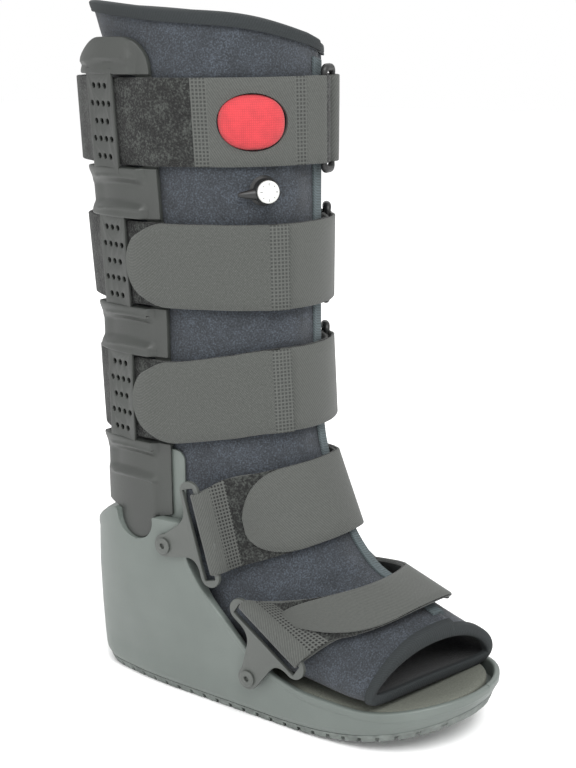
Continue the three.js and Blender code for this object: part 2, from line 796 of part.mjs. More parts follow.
// One edge of a calf strap. The strap is sewn round the held bar of its ring, goes round the back
// through both uprights, passes through the ring over the other bar and folds back on itself.
// ring: turn of the ring's middle; back: turn where the free end stops; side: 1, or -1 for a mirrored run.
const strapEnd = -16; // turn where the free ends of the lower two calf straps stop
const ringReach = 4.6; // turn from the ring's middle to each bar
const tuckTurn = 13;

function calfEdge({ ring, back, rise, side }, level) {
  const held = ring + ringReach;
  const passed = ring - ringReach;
  const line = [];
  const height = (turn) => rise(side * turn) + level;
  const step = (turn, offset) => {
    const wrapped = wrapTurn(turn);
    line.push(linePoint(side * wrapped, height(wrapped), strapThick / 2 + offset));
  };
  const fold = (turn, way) => line.push(...foldLine(side * turn, height(turn), side * way));
  for (let i = 0; i <= 2; i++) step(lerp(held + tuckTurn, held + 1.5, i / 2), 0);
  fold(held, -1);
  const high = 2 * foldRadius;
  step(held + 4, high - 0.2);
  step(held + 9, layerStep + 1.4);
  step(held + tuckTurn, layerStep + 0.2);
  step(held + tuckTurn + 6, 0.3);
  const from = held + tuckTurn + 11;
  const to = 360 + passed - 1.5;
  const count = Math.round((to - from) / 8);
  for (let i = 0; i <= count; i++) step(lerp(from, to, i / count), 0);
  fold(passed, 1);
  step(passed - 4, high - 0.2);
  step(passed - 10, layerStep + 1.6);
  const start = passed - 17;
  const more = Math.max(2, Math.round((start - back) / 9));
  for (let i = 0; i <= more; i++) step(lerp(start, back, i / more), layerStep);
  return line;
}

const calfStrap = (strap) => ribbon(calfEdge(strap, strapWidth / 2), calfEdge(strap, -strapWidth / 2));

// A rectangular ring of round bar with rounded corners, standing on edge along the strap.
function makeRing(turn, z) {
  const barAt = (side, height) => linePoint(turn + side * ringReach, height, strapThick / 2 + foldRadius);
  const half = barAt(-1, z).distanceTo(barAt(1, z)) / 2;
  const tall = strapWidth / 2 + ringSpare + barRadius;
  const corner = ringCorner;
  const path = [];
  for (const [sx, sz] of [[1, 1], [-1, 1], [-1, -1], [1, -1]]) {
    for (let i = 0; i <= 2; i++) {
      const share = sx * sz > 0 ? i / 2 : 1 - i / 2;
      const angle = share * 90 * DEG;
      const across = (sx * (half - corner + corner * Math.cos(angle))) / half;
      const height = z + sz * (tall - corner + corner * Math.sin(angle));
      path.push(barAt(-1, height).lerp(barAt(1, height), (1 + across) / 2));
    }
  }
  const across = barAt(1, z).sub(barAt(-1, z)).normalize();
  return tubeAlong(path, barRadius, across);
}

// A closed bar of six-sided section through points that lie in one upright plane.
function tubeAlong(path, radius, across) {
  const normal = vec(across.y, -across.x, 0);
  return loft(
    path.map((point, i) => {
      const before = path[(i + path.length - 1) % path.length];
      const after = path[(i + 1) % path.length];
      const along = after.clone().sub(before).normalize();
      const side = vec(0, 0, 0).crossVectors(along, normal);
      return Array.from({ length: 6 }, (_, k) => {
        const angle = (k * Math.PI) / 3;
        return point
          .clone()
          .addScaledVector(side, radius * Math.cos(angle))
          .addScaledVector(normal, radius * Math.sin(angle));
      });
    }),
    true,
  );
}

// A tab sewn on the outside of a strap's free end, with a rounded tip.
// from, to: turns where it starts and where its straight part ends.
// It starts over the strap's end, one layer up, and then lies on the layer below.
function makeHookTab({ from, to, rise }) {
  const turns = [from, strapEnd - 2, strapEnd - 5, strapEnd - 8, strapEnd - 11, -35, -42, -49, -56, -63, to];
  const shares = turns.map((turn) => ({ turn, narrow: 1 }));
  const radius = strapWidth / 2;
  for (const share of [0.3, 0.6, 0.82, 0.96]) {
    const turn = to + (Math.sign(to - from) * share * radius) / (calfWidth / 2 / (1 / DEG));
    shares.push({ turn, narrow: Math.sqrt(1 - share ** 2) });
  }
  const edge = (level) =>
    shares.map(({ turn, narrow }) => {
      const offset = layerStep * (1 + smooth(turn, strapEnd - 11, strapEnd - 2)) + 0.25 + strapThick / 2;
      return linePoint(turn, rise(turn) + level * narrow * radius, offset);
    });
  return ribbon(edge(1), edge(-1));
}

// Brackets: a flat plate with a slot for the strap and an ear for its rivet

// The outline that goes round a set of circles, in the plane of Y and Z.
function roundHull(circles, steps = 8) {
  const points = circles.flatMap(({ y, z, radius }) =>
    Array.from({ length: steps }, (_, i) => {
      const angle = (2 * Math.PI * i) / steps;
      return new THREE.Vector2(y + radius * Math.cos(angle), z + radius * Math.sin(angle));
    }),
  );
  points.sort((a, b) => a.x - b.x || a.y - b.y);
  const halfHull = (list) => {
    const hull = [];
    for (const p of list) {
      while (hull.length > 1 && turnOf(hull.at(-2), hull.at(-1), p) <= 0.01) hull.pop();
      hull.push(p);
    }
    return hull.slice(0, -1);
  };
  return [...halfHull(points), ...halfHull([...points].reverse())];
}

const turnOf = (a, b, c) => (b.x - a.x) * (c.y - a.y) - (b.y - a.y) * (c.x - a.x);

// A flat plate from an outline in Y and Z, between two distances from the middle of the boot.
function sidePlate(outline, inner, outer) {
  return loft([inner, outer].map((x) => outline.map((p) => vec(-x, p.x, p.y))));
}

// A place on the side of the boot: share of the sole's length from the heel, and height.
const beside = (along, z) => ({ y: heelBack - soleLength * along, z });

const ankleBracket = {
  face: (soleWidth + calfWidth) / 4 + 6.65,
  high: beside(0.397, 1.18 * collarHeight),
  low: beside(0.449, 0.762 * collarHeight),
  rivet: beside(0.319, 0.866 * collarHeight),
};
const foreBracket = {
  face: soleWidth / 2 + 1.9,
  high: beside(0.52, 0.46 * instepHeight),
  low: beside(0.66, 0.29 * instepHeight),
  rivet: beside(0.537, rimHeight + 3.6),
};

function makeBracket({ face, high, low, rivet }) {
  const outer = face + bracketThick;
  const between = (share) => ({ y: lerp(low.y, high.y, share), z: lerp(low.z, high.z, share) });
  const bar = roundHull([{ ...high, radius: 6 }, { ...low, radius: 6 }]);
  const ear = roundHull([{ ...rivet, radius: 7.4 }, { ...between(0.06), radius: 6 }, { ...between(0.42), radius: 5 }]);
  const across = new THREE.Vector2(high.z - low.z, low.y - high.y).setLength(bracketSlot / 2 - slotCorner);
  const slotEnds = [-0.03, 1.03].flatMap((share) =>
    [-1, 1].map((side) => ({
      y: between(share).y + side * across.x,
      z: between(share).z + side * across.y,
      radius: slotCorner,
    })),
  );
  return sidePlate(bar, face, outer)
    .add(sidePlate(ear, face, outer))
    .subtract(sidePlate(roundHull(slotEnds), face - 1, outer + 1))
    .subtract(sidePlate(roundHull([{ ...rivet, radius: 2.6 + clearance }], 8), face - 1, outer + 1));
}

function rivetHole({ face, rivet }) {
  return sidePlate(roundHull([{ ...rivet, radius: 2.6 + clearance }]), face - 14, face + 1);
}

function makeRivet({ face, rivet }) {
  const outer = face + bracketThick + clearance;
  const shank = sidePlate(roundHull([{ ...rivet, radius: 2.6 }], 8), face - 3, outer + 0.5);
  const head = sidePlate(roundHull([{ ...rivet, radius: rivetRadius }]), outer, outer + 1.6);
  const dent = sidePlate(roundHull([{ ...rivet, radius: 1.7 }], 6), outer - 1, outer + 3);
  return shank.add(head).subtract(dent);
}

// Straps over the foot. Each is sewn round its near bracket's front bar, crosses the instep, goes
// through the far bracket's slot and folds back on itself.

// high and low: the strap's edges as places on the liner, at the sides and at the middle.
// lift: how far the strap stands off at the middle; back: turn where its free end stops.
const footStraps = [
  { name: "ankle", bracket: ankleBracket, high: [7.95, 8.05], low: [10.1, 10.2], lift: 0, back: -38 },
  { name: "forefoot", bracket: foreBracket, high: [11.5, 13], low: [14.2, 15.8], lift: 6, back: -34 },
];
const barShift = bracketSlot / 2 + (6 - bracketSlot / 2) / 2; // from the slot's middle to the front bar's

function footEdge({ bracket, high, low, lift, back }, level) {
  const { face, high: top, low: bottom } = bracket;
  const along = vec(0, top.y - bottom.y, top.z - bottom.z).normalize();
  const front = vec(0, -along.z, along.y);
  const middle = vec(0, (top.y + bottom.y) / 2, (top.z + bottom.z) / 2);
  const bar = middle.addScaledVector(front, barShift).addScaledVector(along, (level * strapWidth) / 2);
  const line = [];
  const step = (turn, layer) => {
    const share = Math.cos(turn * DEG) ** 2;
    const place = lerp(...(level > 0 ? high : low), share);
    const stand = lift * share;
    const offset = 3 * clearance + flapClear(turn) + stand + strapThick / 2 + layer * layerStep;
    line.push(linerPoint(place, turn, offset));
  };
  const radius = 2.3 + clearance + strapThick / 2;
  const fold = (side, from, to) => {
    for (let i = 0; i <= 4; i++) {
      const angle = lerp(from, to, i / 4) * DEG;
      const point = bar.clone().setX(side * (face + bracketThick / 2));
      point.x += side * radius * Math.cos(angle);
      line.push(point.addScaledVector(front, -radius * Math.sin(angle)));
    }
  };
  step(-46, 0);
  step(-56, 0);
  fold(-1, 150, -50);
  step(-60, 1.8);
  step(-50, 1.2);
  step(-38, 0.5);
  for (const turn of [-26, -13, 0, 13, 26, 40, 54]) step(turn, 0);
  fold(1, 150, -50);
  step(58, 1.8);
  step(49, 1.2);
  for (const turn of [40, 26, 13, 0, -13, -26]) step(turn, 1.03);
  step(back, 1.6);
  return line;
}

const footStrap = (strap) => ribbon(footEdge(strap, 1), footEdge(strap, -1));

// Pump and valve

const pumpTurn = -37;
const pumpZ = strapMiddle + strapSpacing;
const valveTurn = -32;
const valveZ = strapMiddle + strapSpacing / 2 + valveAbove;

// A point over the calf at an angle and a distance from a spot on it, measured along the surface.
function overCalf(turn, z, along, up, offset) {
  const perTurn = offsetPoint(linerCurve, turn + 0.5, z, 0).distanceTo(offsetPoint(linerCurve, turn - 0.5, z, 0));
  const at = turn + along / perTurn;
  return offsetPoint(linerCurve, at, z + up, offset + flapProud(Math.min(at, flapEdge)));
}

// One dome over the calf: an oval with a flat rim that rises to its middle.
function domeSolid(scale, base, height) {
  const rings = [[1, 0], [0.97, 0.4], [0.82, 0.78], [0.45, 0.97]];
  const count = 16;
  const points = [];
  const place = (share, lift, angle) =>
    overCalf(
      pumpTurn,
      pumpZ,
      ((pumpLength / 2) * scale.along) * share * Math.cos(angle),
      ((pumpHeight / 2) * scale.up) * share * Math.sin(angle),
      base + lift * height,
    );
  const faces = [];
  rings.forEach(([share, lift]) => {
    for (let i = 0; i < count; i++) points.push(place(share, lift, (2 * Math.PI * i) / count));
  });
  for (let r = 0; r < rings.length - 1; r++) {
    for (let i = 0; i < count; i++) {
      const next = (i + 1) % count;
      const [a, b, c, d] = [r * count + i, r * count + next, (r + 1) * count + next, (r + 1) * count + i];
      faces.push(a, b, c, a, c, d);
    }
  }
  const top = points.length;
  points.push(place(0, 1, 0));
  const middle = points.length;
  points.push(place(0, 0, 0));
  for (let i = 0; i < count; i++) {
    const next = (i + 1) % count;
    const crown = (rings.length - 1) * count;
    faces.push(crown + i, crown + next, top);
    faces.push(next, i, middle);
  }
  return solidFrom(points, faces);
}

function makePump() {
  const outer = domeSolid({ along: 1, up: 1 }, clearance, pumpDome + 3);
  const inner = domeSolid({ along: 1 - 3 / pumpLength, up: 1 - 3 / pumpHeight }, clearance - 1, pumpDome + 2.4);
  return outer.subtract(inner);
}

// What the strap leaves free for the pump.
function pumpWindow() {
  return domeSolid({ along: 1 + 1.2 / pumpLength, up: 1 + 1.2 / pumpHeight }, -2, 40);
}

const valvePlace = (() => {
  const at = overCalf(valveTurn, valveZ, 0, 0, clearance);
  const outward = offsetPoint(linerCurve, valveTurn, valveZ, 1).sub(linerCurve(valveTurn, valveZ));
  return { at, outward, matrix: frameAt(at, outward) };
})();

// A round solid from radii at heights, about the valve's own axis.
function turnedOnValve(profile, steps = 14) {
  const points = profile.map(([radius, height]) => new THREE.Vector2(radius, height));
  const geometry = new THREE.LatheGeometry(points, steps).rotateX(Math.PI / 2);
  return solidOf(geometry, valvePlace.matrix);
}

function makeValveBody() {
  const cup = turnedOnValve([[0, 0], [valveRadius + 1.6, 0], [valveRadius, 2], [valveRadius, valveDeep], [0, valveDeep]]);
  const well = turnedOnValve([
    [0, 2.5],
    [2 + clearance, 2.5],
    [2 + clearance, valveDeep - 1.4],
    [dialRadius - 0.3 + clearance, valveDeep - 1.4],
    [dialRadius - 0.3 + clearance, valveDeep + 1],
    [0, valveDeep + 1],
  ]);
  const nozzle = new THREE.CylinderGeometry(2.2, 3.4, 13, 10).rotateZ(Math.PI / 2);
  const nozzlePlace = valvePlace.matrix.clone().multiply(new THREE.Matrix4().makeTranslation(-11, -1.4, 4.2));
  return cup.add(solidOf(nozzle, nozzlePlace)).subtract(well);
}

function makeValveDial() {
  const low = valveDeep - 1.4 + clearance;
  return turnedOnValve([
    [0, 3],
    [2, 3],
    [2, low],
    [dialRadius - 0.3, low],
    [dialRadius - 0.3, low + dialThick - 0.5],
    [dialRadius - 0.9, low + dialThick],
    [0, low + dialThick],
  ]);
}

// The boot

const legSpace = makeLegSpace();

const uprightSpace = loft(
  [collarHeight - 22, tabTop + 1].map((z) => {
    return plateSection(uprightFront - 1, uprightBack + 1, z, flangeThick, 2 * uprightProud);
  }),
).intersect(uprightSilhouette(clearance));

const rivetHoles = [ankleBracket, foreBracket].map(rivetHole);

add("outsole", makeOutsole(), "rubber");
let shell = makeShell(legSpace, uprightSpace);
for (const hole of rivetHoles) shell = shell.subtract(hole).subtract(mirrored(hole));
add("shell", shell, "plastic");
add("footbed", makeFootbed(), "foam");
add("liner", makeLiner(), "fabric");
add("binding_top", makeBinding(false), "binding");
add("binding_toe", makeBinding(true), "binding");
add("binding_front", makeFrontTape(), "binding");

const upright = makeUpright();
add("upright_near", upright, "plastic");
add("upright_far", mirrored(upright), "plastic");

for (const [name, bracket] of [["ankle", ankleBracket], ["forefoot", foreBracket]]) {
  const plate = makeBracket(bracket);
  const rivet = makeRivet(bracket);
  add(`bracket_${name}_near`, plate, "plastic");
  add(`bracket_${name}_far`, mirrored(plate), "plastic");
  add(`rivet_${name}_near`, rivet, "plastic");
  add(`rivet_${name}_far`, mirrored(rivet), "plastic");
}

const level = (z) => () => z;
const lowRise = (turn) => strapMiddle - strapSpacing + frontRise * smooth(Math.cos(turn * DEG), 0.15, 0.95);
const straps = [
  { name: "top", ring: -9, back: -70, rise: level(strapMiddle + strapSpacing), side: -1 },
  { name: "mid", ring: 36, back: strapEnd, rise: level(strapMiddle), side: 1 },
  { name: "low", ring: 36, back: strapEnd, rise: lowRise, side: 1 },
];

for (const strap of straps) {
  let band = calfStrap(strap);
  if (strap.name === "top") band = band.subtract(pumpWindow());
  add(`strap_${strap.name}`, band, "webbing");
  const ringTurn = strap.side * strap.ring;
  add(`ring_${strap.name}`, makeRing(ringTurn, strap.rise(ringTurn)), "black");
}

for (const strap of straps.slice(1)) {
  const tab = makeHookTab({ from: strapEnd + 5, to: -69, rise: strap.rise });
  add(`tab_${strap.name}`, tab, "pile");
}

for (const strap of footStraps) add(`strap_${strap.name}`, footStrap(strap), "webbing");

add("pump", makePump(), "red");
add("valve_body", makeValveBody(), "black");
add("valve_dial", makeValveDial(), "white");

export default boot;
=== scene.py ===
import math
from functools import partial

import bpy
from mathutils import Matrix, Vector, noise


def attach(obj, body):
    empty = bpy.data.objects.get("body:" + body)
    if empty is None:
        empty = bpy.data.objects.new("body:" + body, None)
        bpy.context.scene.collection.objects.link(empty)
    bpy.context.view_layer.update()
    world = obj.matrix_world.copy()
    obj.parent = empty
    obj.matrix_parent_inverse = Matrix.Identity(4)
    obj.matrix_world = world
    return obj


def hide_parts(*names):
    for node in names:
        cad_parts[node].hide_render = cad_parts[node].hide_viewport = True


bl_info = {
    "name": "Walking boot",
    "version": (1, 0, 0),
    "blender": (4, 5, 0),
    "location": "3D View > Sidebar > Boot",
    "description": "Builds the looks of a tall walking boot brace over its solid frame",
    "category": "Object",
}

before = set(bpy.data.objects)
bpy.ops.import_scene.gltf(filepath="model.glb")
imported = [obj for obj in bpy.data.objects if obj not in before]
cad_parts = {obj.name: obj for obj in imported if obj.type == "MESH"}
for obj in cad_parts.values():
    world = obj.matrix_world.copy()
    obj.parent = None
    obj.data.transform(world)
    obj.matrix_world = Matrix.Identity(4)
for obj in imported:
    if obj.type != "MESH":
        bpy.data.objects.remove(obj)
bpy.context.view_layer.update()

MM = 0.001

# Sizes in millimetres and turns in degrees, most of them shared with the solids. A turn goes round
# the leg from the front by the far side, so that the near side has turns below 0.
BOOT_HEIGHT = 431
SOLE_LENGTH = 285
SOLE_WIDTH = 117
HEEL_BACK = 69
CALF_WIDTH = 106
CALF_DEPTH = 128
CALF_CENTRE = -22
CALF_FRONT = CALF_CENTRE - CALF_DEPTH / 2
CALF_BACK = CALF_CENTRE + CALF_DEPTH / 2
INSTEP_HEIGHT = 165
RIM_FLARE = 11
RIM_TILT = 7
RIM_CORNER = 5.5
LINER_WALL = 6
FLAP_STEP = 3.5
FLAP_EDGE = 9
FLAP_ROOT = -70
TAPE_MIDDLE = 7.5
CLEARANCE = 0.35

TREAD_THICK = 5
TREAD_PITCH = 11
TREAD_GROOVE = 2.4
TOE_SPRING = 22
HEEL_SPRING = 6
FLOOR_HEIGHT = 22
FOOTBED_THICK = 4.6
SHELL_WALL = 3.4
COLLAR_THICK = 8
RIM_HEIGHT = 28
RIM_RISE = 9
COLLAR_HEIGHT = 122

UPRIGHT_TOP = 414
UPRIGHT_FRONT = -23
UPRIGHT_BACK = 31
UPRIGHT_MIDDLE = (UPRIGHT_FRONT + UPRIGHT_BACK) / 2
CROWN_RADIUS = 19
TONGUE_RADIUS = 13.5
TONGUE_LOW = COLLAR_HEIGHT - 3.5
TONGUE_CENTRE = UPRIGHT_MIDDLE - 1
BRACE_CENTRE = -9
BRACE_DEPTH = 60
BRACE_SQUARENESS = 2.5
FLANGE_THICK = 2.2
UPRIGHT_PROUD = 6.6
TAB_TOP = 166
TAB_FRONT = -31

STRAP_WIDTH = 50.8
STRAP_THICK = 1.8
STRAP_MIDDLE = 281
STRAP_SPACING = 84.5
WINDOW_SPARE = 1.6
SLOT_FRONT = -12
PANEL_FRONT = 1
PANEL_BACK = 23
SLOT_BACK = 28
HOLE_PITCH = 10.4
WINDOW_HALF = STRAP_WIDTH / 2 + WINDOW_SPARE
WINDOW_MIDDLES = (STRAP_MIDDLE + STRAP_SPACING, STRAP_MIDDLE, STRAP_MIDDLE - STRAP_SPACING)
WINDOW_GAP = STRAP_SPACING - 2 * WINDOW_HALF

BRACKET_THICK = 3
BRACKET_SLOT = 5.2
BRACKET_BAR = 2.3
BAR_RADIUS = 1.8
RING_REACH = 4.6
TUCK_TURN = 13
STRAP_END = -27
STRAP_CROWN = 0.18
BINDING_THICK = 1.6
BINDING_DEEP = 6

PUMP_LENGTH = 37.5
PUMP_HEIGHT = 32
PUMP_DOME = 6
PUMP_TURN = -37
PUMP_Z = STRAP_MIDDLE + STRAP_SPACING
VALVE_RADIUS = 7.4
VALVE_DEEP = 8
VALVE_SEAT = VALVE_DEEP - 1.4
VALVE_TURN = -32
VALVE_Z = STRAP_MIDDLE + STRAP_SPACING / 2 + 2.75
DIAL_RADIUS = 6.9
DIAL_THICK = 2.6

STRAP_OVER = FLANGE_THICK + 2 * CLEARANCE
PANEL_UNDER = STRAP_OVER + STRAP_THICK + CLEARANCE + 1.3
PANEL_PROUD = PANEL_UNDER + 2
LAYER_STEP = STRAP_THICK + CLEARANCE
FOLD_RADIUS = BAR_RADIUS + CLEARANCE + STRAP_THICK / 2


# Shape functions: points in millimetres


def lerp(a, b, share):
    return a + (b - a) * share


def clamp(value, low=0.0, high=1.0):
    return min(max(value, low), high)


def smooth(value, low, high):
    share = clamp((value - low) / (high - low))
    return share * share * (3 - 2 * share)


def sine(turn):
    return math.sin(math.radians(turn))


def cosine(turn):
    return math.cos(math.radians(turn))


def signed_power(value, power):
    return math.copysign(abs(value) ** power, value)


def wrap_turn(turn):
    return (turn + 540) % 360 - 180


def flare(z):
    return RIM_FLARE * smooth(z, STRAP_MIDDLE - STRAP_SPACING / 2, BOOT_HEIGHT)


def liner_curve(turn, z):
    """The liner's outer face round the calf, seen from above."""
    half = CALF_WIDTH / 2 + flare(z)
    lean = 5 * smooth(-z, -1.24 * INSTEP_HEIGHT, -0.97 * INSTEP_HEIGHT) * max(0, cosine(turn))
    return Vector((half * sine(turn), CALF_CENTRE - CALF_DEPTH / 2 * cosine(turn) - lean, z))


def brace_half(z):
    return CALF_WIDTH / 2 + 0.6 + flare(z)


def brace_curve(turn, z):
    """The squarer curve that the uprights stand on."""
    power = 2 / BRACE_SQUARENESS
    x = brace_half(z) * signed_power(sine(turn), power)
    y = BRACE_CENTRE - BRACE_DEPTH * signed_power(cosine(turn), power)
    return Vector((x, y, z))


def brace_share(turn):
    return smooth(abs(turn), 50, 75)


def wrap_curve(turn, z):
    """The curve of the calf straps: the liner's at the front and back, the uprights' at the sides."""
    return liner_curve(turn, z).lerp(brace_curve(turn, z), brace_share(turn))


def way_out(curve, turn, z):
    """The level direction away from the leg."""
    along = (curve(turn + 0.5, z) - curve(turn - 0.5, z)).normalized()
    return Vector((along.y, -along.x, 0))


def offset_point(curve, turn, z, offset):
    return curve(turn, z) + way_out(curve, turn, z) * offset


def brace_point(y, z, offset):
    """The brace curve on the near side, by its place along Y."""
    share = abs(y - BRACE_CENTRE) / BRACE_DEPTH
    half = brace_half(z)
    n = BRACE_SQUARENESS
    x = half * (1 - share**n) ** (1 / n)
    ahead = math.copysign(share ** (n - 1), y - BRACE_CENTRE) / BRACE_DEPTH
    normal = Vector((-(x ** (n - 1)) / half**n, ahead, 0)).normalized()
    return Vector((-x, y, z)) + normal * offset


# Rows of the liner: the calf by height, then the ankle and foot by length. The rim's tilt and flare
# and the flatter toe are softer than in the solids.
CALF_ROWS = (
    dict(up=1, drop=20, tilt=1, flare=16),
    dict(up=0.97, drop=16, tilt=0.95, flare=11),
    dict(up=0.9, drop=4, tilt=0.5, flare=1),
    dict(up=0.78, drop=0, tilt=0, flare=0),
    dict(up=0.66, drop=0, tilt=0, flare=0),
    dict(up=0.55, drop=0, tilt=0, flare=0),
    dict(up=0.465, drop=-3, tilt=0, flare=0),
)
FOOT_ROWS = (
    dict(front=0.023, high=1.08, back=0.092, low=0.95, half=0.993, middle=0, skew=0),
    dict(front=0.06, high=0.97, back=0.07, low=0.72, half=0.977, middle=0, skew=0),
    dict(front=0.151, high=0.815, back=0.034, low=0.47, half=0.949, middle=0, skew=0),
    dict(front=0.24, high=0.7, back=0.034, low=0.29, half=0.927, middle=0, skew=0),
    dict(front=0.317, high=0.625, back=0.085, low=0.172, half=0.83, middle=0, skew=0),
    dict(front=0.416, high=0.56, back=0.2, low=0.166, half=0.83, middle=0, skew=0),
    dict(front=0.507, high=0.525, back=0.33, low=0.166, half=0.84, middle=0, skew=0),
    dict(front=0.616, high=0.495, back=0.48, low=0.168, half=0.86, middle=0, skew=0.2),
    dict(front=0.758, high=0.455, back=0.65, low=0.17, half=0.87, middle=-0.02, skew=0.5),
    dict(front=0.9, high=0.425, back=0.8, low=0.18, half=0.87, middle=-0.08, skew=0.85),
    dict(front=1, high=0.4, back=0.875, low=0.2, half=0.85, middle=-0.12, skew=1),
)
TOE_OPENING = 0.895
TOE_SKEW = 13
ANKLE_ROWS = 4
FOOT_SQUARENESS = 0.72
FOOT_FLAT = 0.6
ROW_KEYS = (
    "front_y", "front_z", "back_y", "back_z", "half", "middle", "skew",
    "square", "front_square", "low", "tilt",
)


def liner_table():
    rows = []
    for row in CALF_ROWS:
        z = row["up"] * BOOT_HEIGHT
        ends = (CALF_FRONT, z - row["drop"], CALF_BACK + row["flare"], z)
        values = (*ends, CALF_WIDTH / 2 + flare(z), 0, 0, 0, 0, 0, row["tilt"])
        rows.append(dict(zip(ROW_KEYS, values)))
    for i, row in enumerate(FOOT_ROWS):
        ends = (
            lerp(CALF_FRONT, HEEL_BACK - TOE_OPENING * SOLE_LENGTH, row["front"]),
            INSTEP_HEIGHT * row["high"],
            HEEL_BACK - SOLE_LENGTH * row["back"],
            INSTEP_HEIGHT * row["low"],
        )
        half = (CALF_WIDTH if i < ANKLE_ROWS else SOLE_WIDTH) / 2 * row["half"]
        middle = SOLE_WIDTH / 2 * row["middle"]
        square = smooth(i, 1, 6)
        flat = FOOT_FLAT * smooth(i, 6, 10)
        values = (*ends, half, middle, TOE_SKEW * row["skew"], square, 0.35 * square, flat, 0)
        rows.append(dict(zip(ROW_KEYS, values)))
    return rows


LINER_ROWS = liner_table()
LAST_ROW = len(LINER_ROWS) - 1


def through(a, b, c, d, t):
    """A value on the smooth curve through four values, between the middle two."""
    return 0.5 * (
        2 * b + (c - a) * t + (2 * a - 5 * b + 4 * c - d) * t**2 + (3 * b - a - 3 * c + d) * t**3
    )


def liner_row(place):
    """The liner's row at a place between 0 at the rim and the last row at the toe."""
    i = int(clamp(math.floor(place), 0, LAST_ROW - 1))
    near = [LINER_ROWS[int(clamp(i + k, 0, LAST_ROW))] for k in (-1, 0, 1, 2)]
    return {key: through(*(row[key] for row in near), place - i) for key in ROW_KEYS}


def flap_proud(turn):
    """How far the outer flap stands over the liner under it."""
    fall = 1 - smooth(turn, FLAP_EDGE, FLAP_EDGE + 1.5)
    return FLAP_STEP * smooth(turn, FLAP_ROOT, -20) * fall


def rim_lift(turn):
    """How much the rim rises at a turn: its near side is higher, its front far corner lower."""
    tilt = -sine(turn) if turn < 0 else -sine(2 * min(turn, 90))
    return RIM_TILT * tilt + RIM_CORNER * math.exp(-(((turn + 35) / 35) ** 2))


def liner_point(place, turn, offset):
    """A point on the liner by its row and turn, at a distance from its outer face."""
    turn = wrap_turn(turn)
    row = liner_row(place)
    s, c = sine(turn), cosine(turn)
    power = lerp(1, FOOT_SQUARENESS, row["square"] if c < 0 else row["front_square"])
    sideways = signed_power(s, power)
    front = Vector((0, row["front_y"], row["front_z"]))
    back = Vector((0, row["back_y"], row["back_z"]))
    middle = front.lerp(back, 0.5)
    axis = front - middle
    deep = axis.length
    axis.normalize()
    outward = (Vector((s * deep, 0, 0)) + axis * (c * row["half"])).normalized()
    lift = row["tilt"] * rim_lift(turn)
    across = Vector((row["middle"] + sideways * row["half"], -row["skew"] * sideways, lift))
    return middle + axis * ((c - row["low"] * s * s) * deep) + across + outward * offset


def flap_clear(turn):
    """How far a strap stays off the liner to pass over the flap and its tape."""
    tape = BINDING_THICK + CLEARANCE
    fall = 1 - smooth(turn, FLAP_EDGE + 4, 34)
    return (FLAP_STEP + tape) * smooth(turn, FLAP_ROOT, -12) * fall


def layer_offset(turn):
    brace = (STRAP_OVER - 2 * CLEARANCE) * brace_share(turn)
    return 2 * CLEARANCE + 0.25 + max(flap_clear(turn), brace)


def line_point(turn, z, offset):
    return offset_point(wrap_curve, turn, z, layer_offset(turn) + offset)


def fold_line(turn, z, way, steps=4):
    """Half a turn of a strap round a bar, from its inner side to its outer side."""
    inner = line_point(turn, z, STRAP_THICK / 2)
    out = way_out(wrap_curve, turn, z)
    along = Vector((-out.y, out.x, 0)) * way
    middle = inner + out * FOLD_RADIUS
    angles = [math.pi * i / steps for i in range(steps + 1)]
    return [middle - out * FOLD_RADIUS * math.cos(a) + along * FOLD_RADIUS * math.sin(a) for a in angles]


def low_rise(turn):
    return STRAP_MIDDLE - STRAP_SPACING + 10 * smooth(cosine(turn), 0.15, 0.95)


CALF_STRAPS = {
    "top": dict(ring=-9, back=-70, rise=lambda turn: STRAP_MIDDLE + STRAP_SPACING, side=-1),
    "mid": dict(ring=36, back=STRAP_END, rise=lambda turn: STRAP_MIDDLE, side=1),
    "low": dict(ring=36, back=STRAP_END, rise=low_rise, side=1),
}


def strap_slack(turned, z):
    """How much further back a strap bows behind the uprights, most at the top."""
    high = smooth(z, COLLAR_HEIGHT, STRAP_MIDDLE + STRAP_SPACING)
    return 9 * high * smooth(-cosine(turned), 0.6, 0.85)


def calf_edge(strap, level):
    """One edge of a calf strap: (turn, point) from its sewn end round the leg to its free end."""
    side, rise = strap["side"], strap["rise"]
    held, passed = strap["ring"] + RING_REACH, strap["ring"] - RING_REACH
    line = []

    def step(turn, offset):
        turned = side * wrap_turn(turn)
        point = line_point(turned, rise(turned) + level, STRAP_THICK / 2 + offset)
        point.y += strap_slack(turned, point.z)
        line.append((turn, point))

    def fold(turn, way):
        turned = side * wrap_turn(turn)
        points = fold_line(turned, rise(turned) + level, side * way)
        line.extend((turn, point) for point in points)

    for i in range(3):
        step(lerp(held + TUCK_TURN, held + 1.5, i / 2), 0)
    fold(held, -1)
    high = 2 * FOLD_RADIUS
    step(held + 4, high - 0.2)
    step(held + 9, LAYER_STEP + 1.4)
    step(held + TUCK_TURN, LAYER_STEP + 0.2)
    step(held + TUCK_TURN + 6, 0.3)
    start, stop = held + TUCK_TURN + 11, 360 + passed - 1.5
    count = round((stop - start) / 8)
    for i in range(count + 1):
        step(lerp(start, stop, i / count), 0)
    fold(passed + 360, 1)
    step(passed + 356, high - 0.2)
    step(passed + 350, LAYER_STEP + 1.6)
    start = passed - 17
    more = max(2, round((start - strap["back"]) / 9))
    for i in range(more + 1):
        step(360 + lerp(start, strap["back"], i / more), LAYER_STEP)
    return line


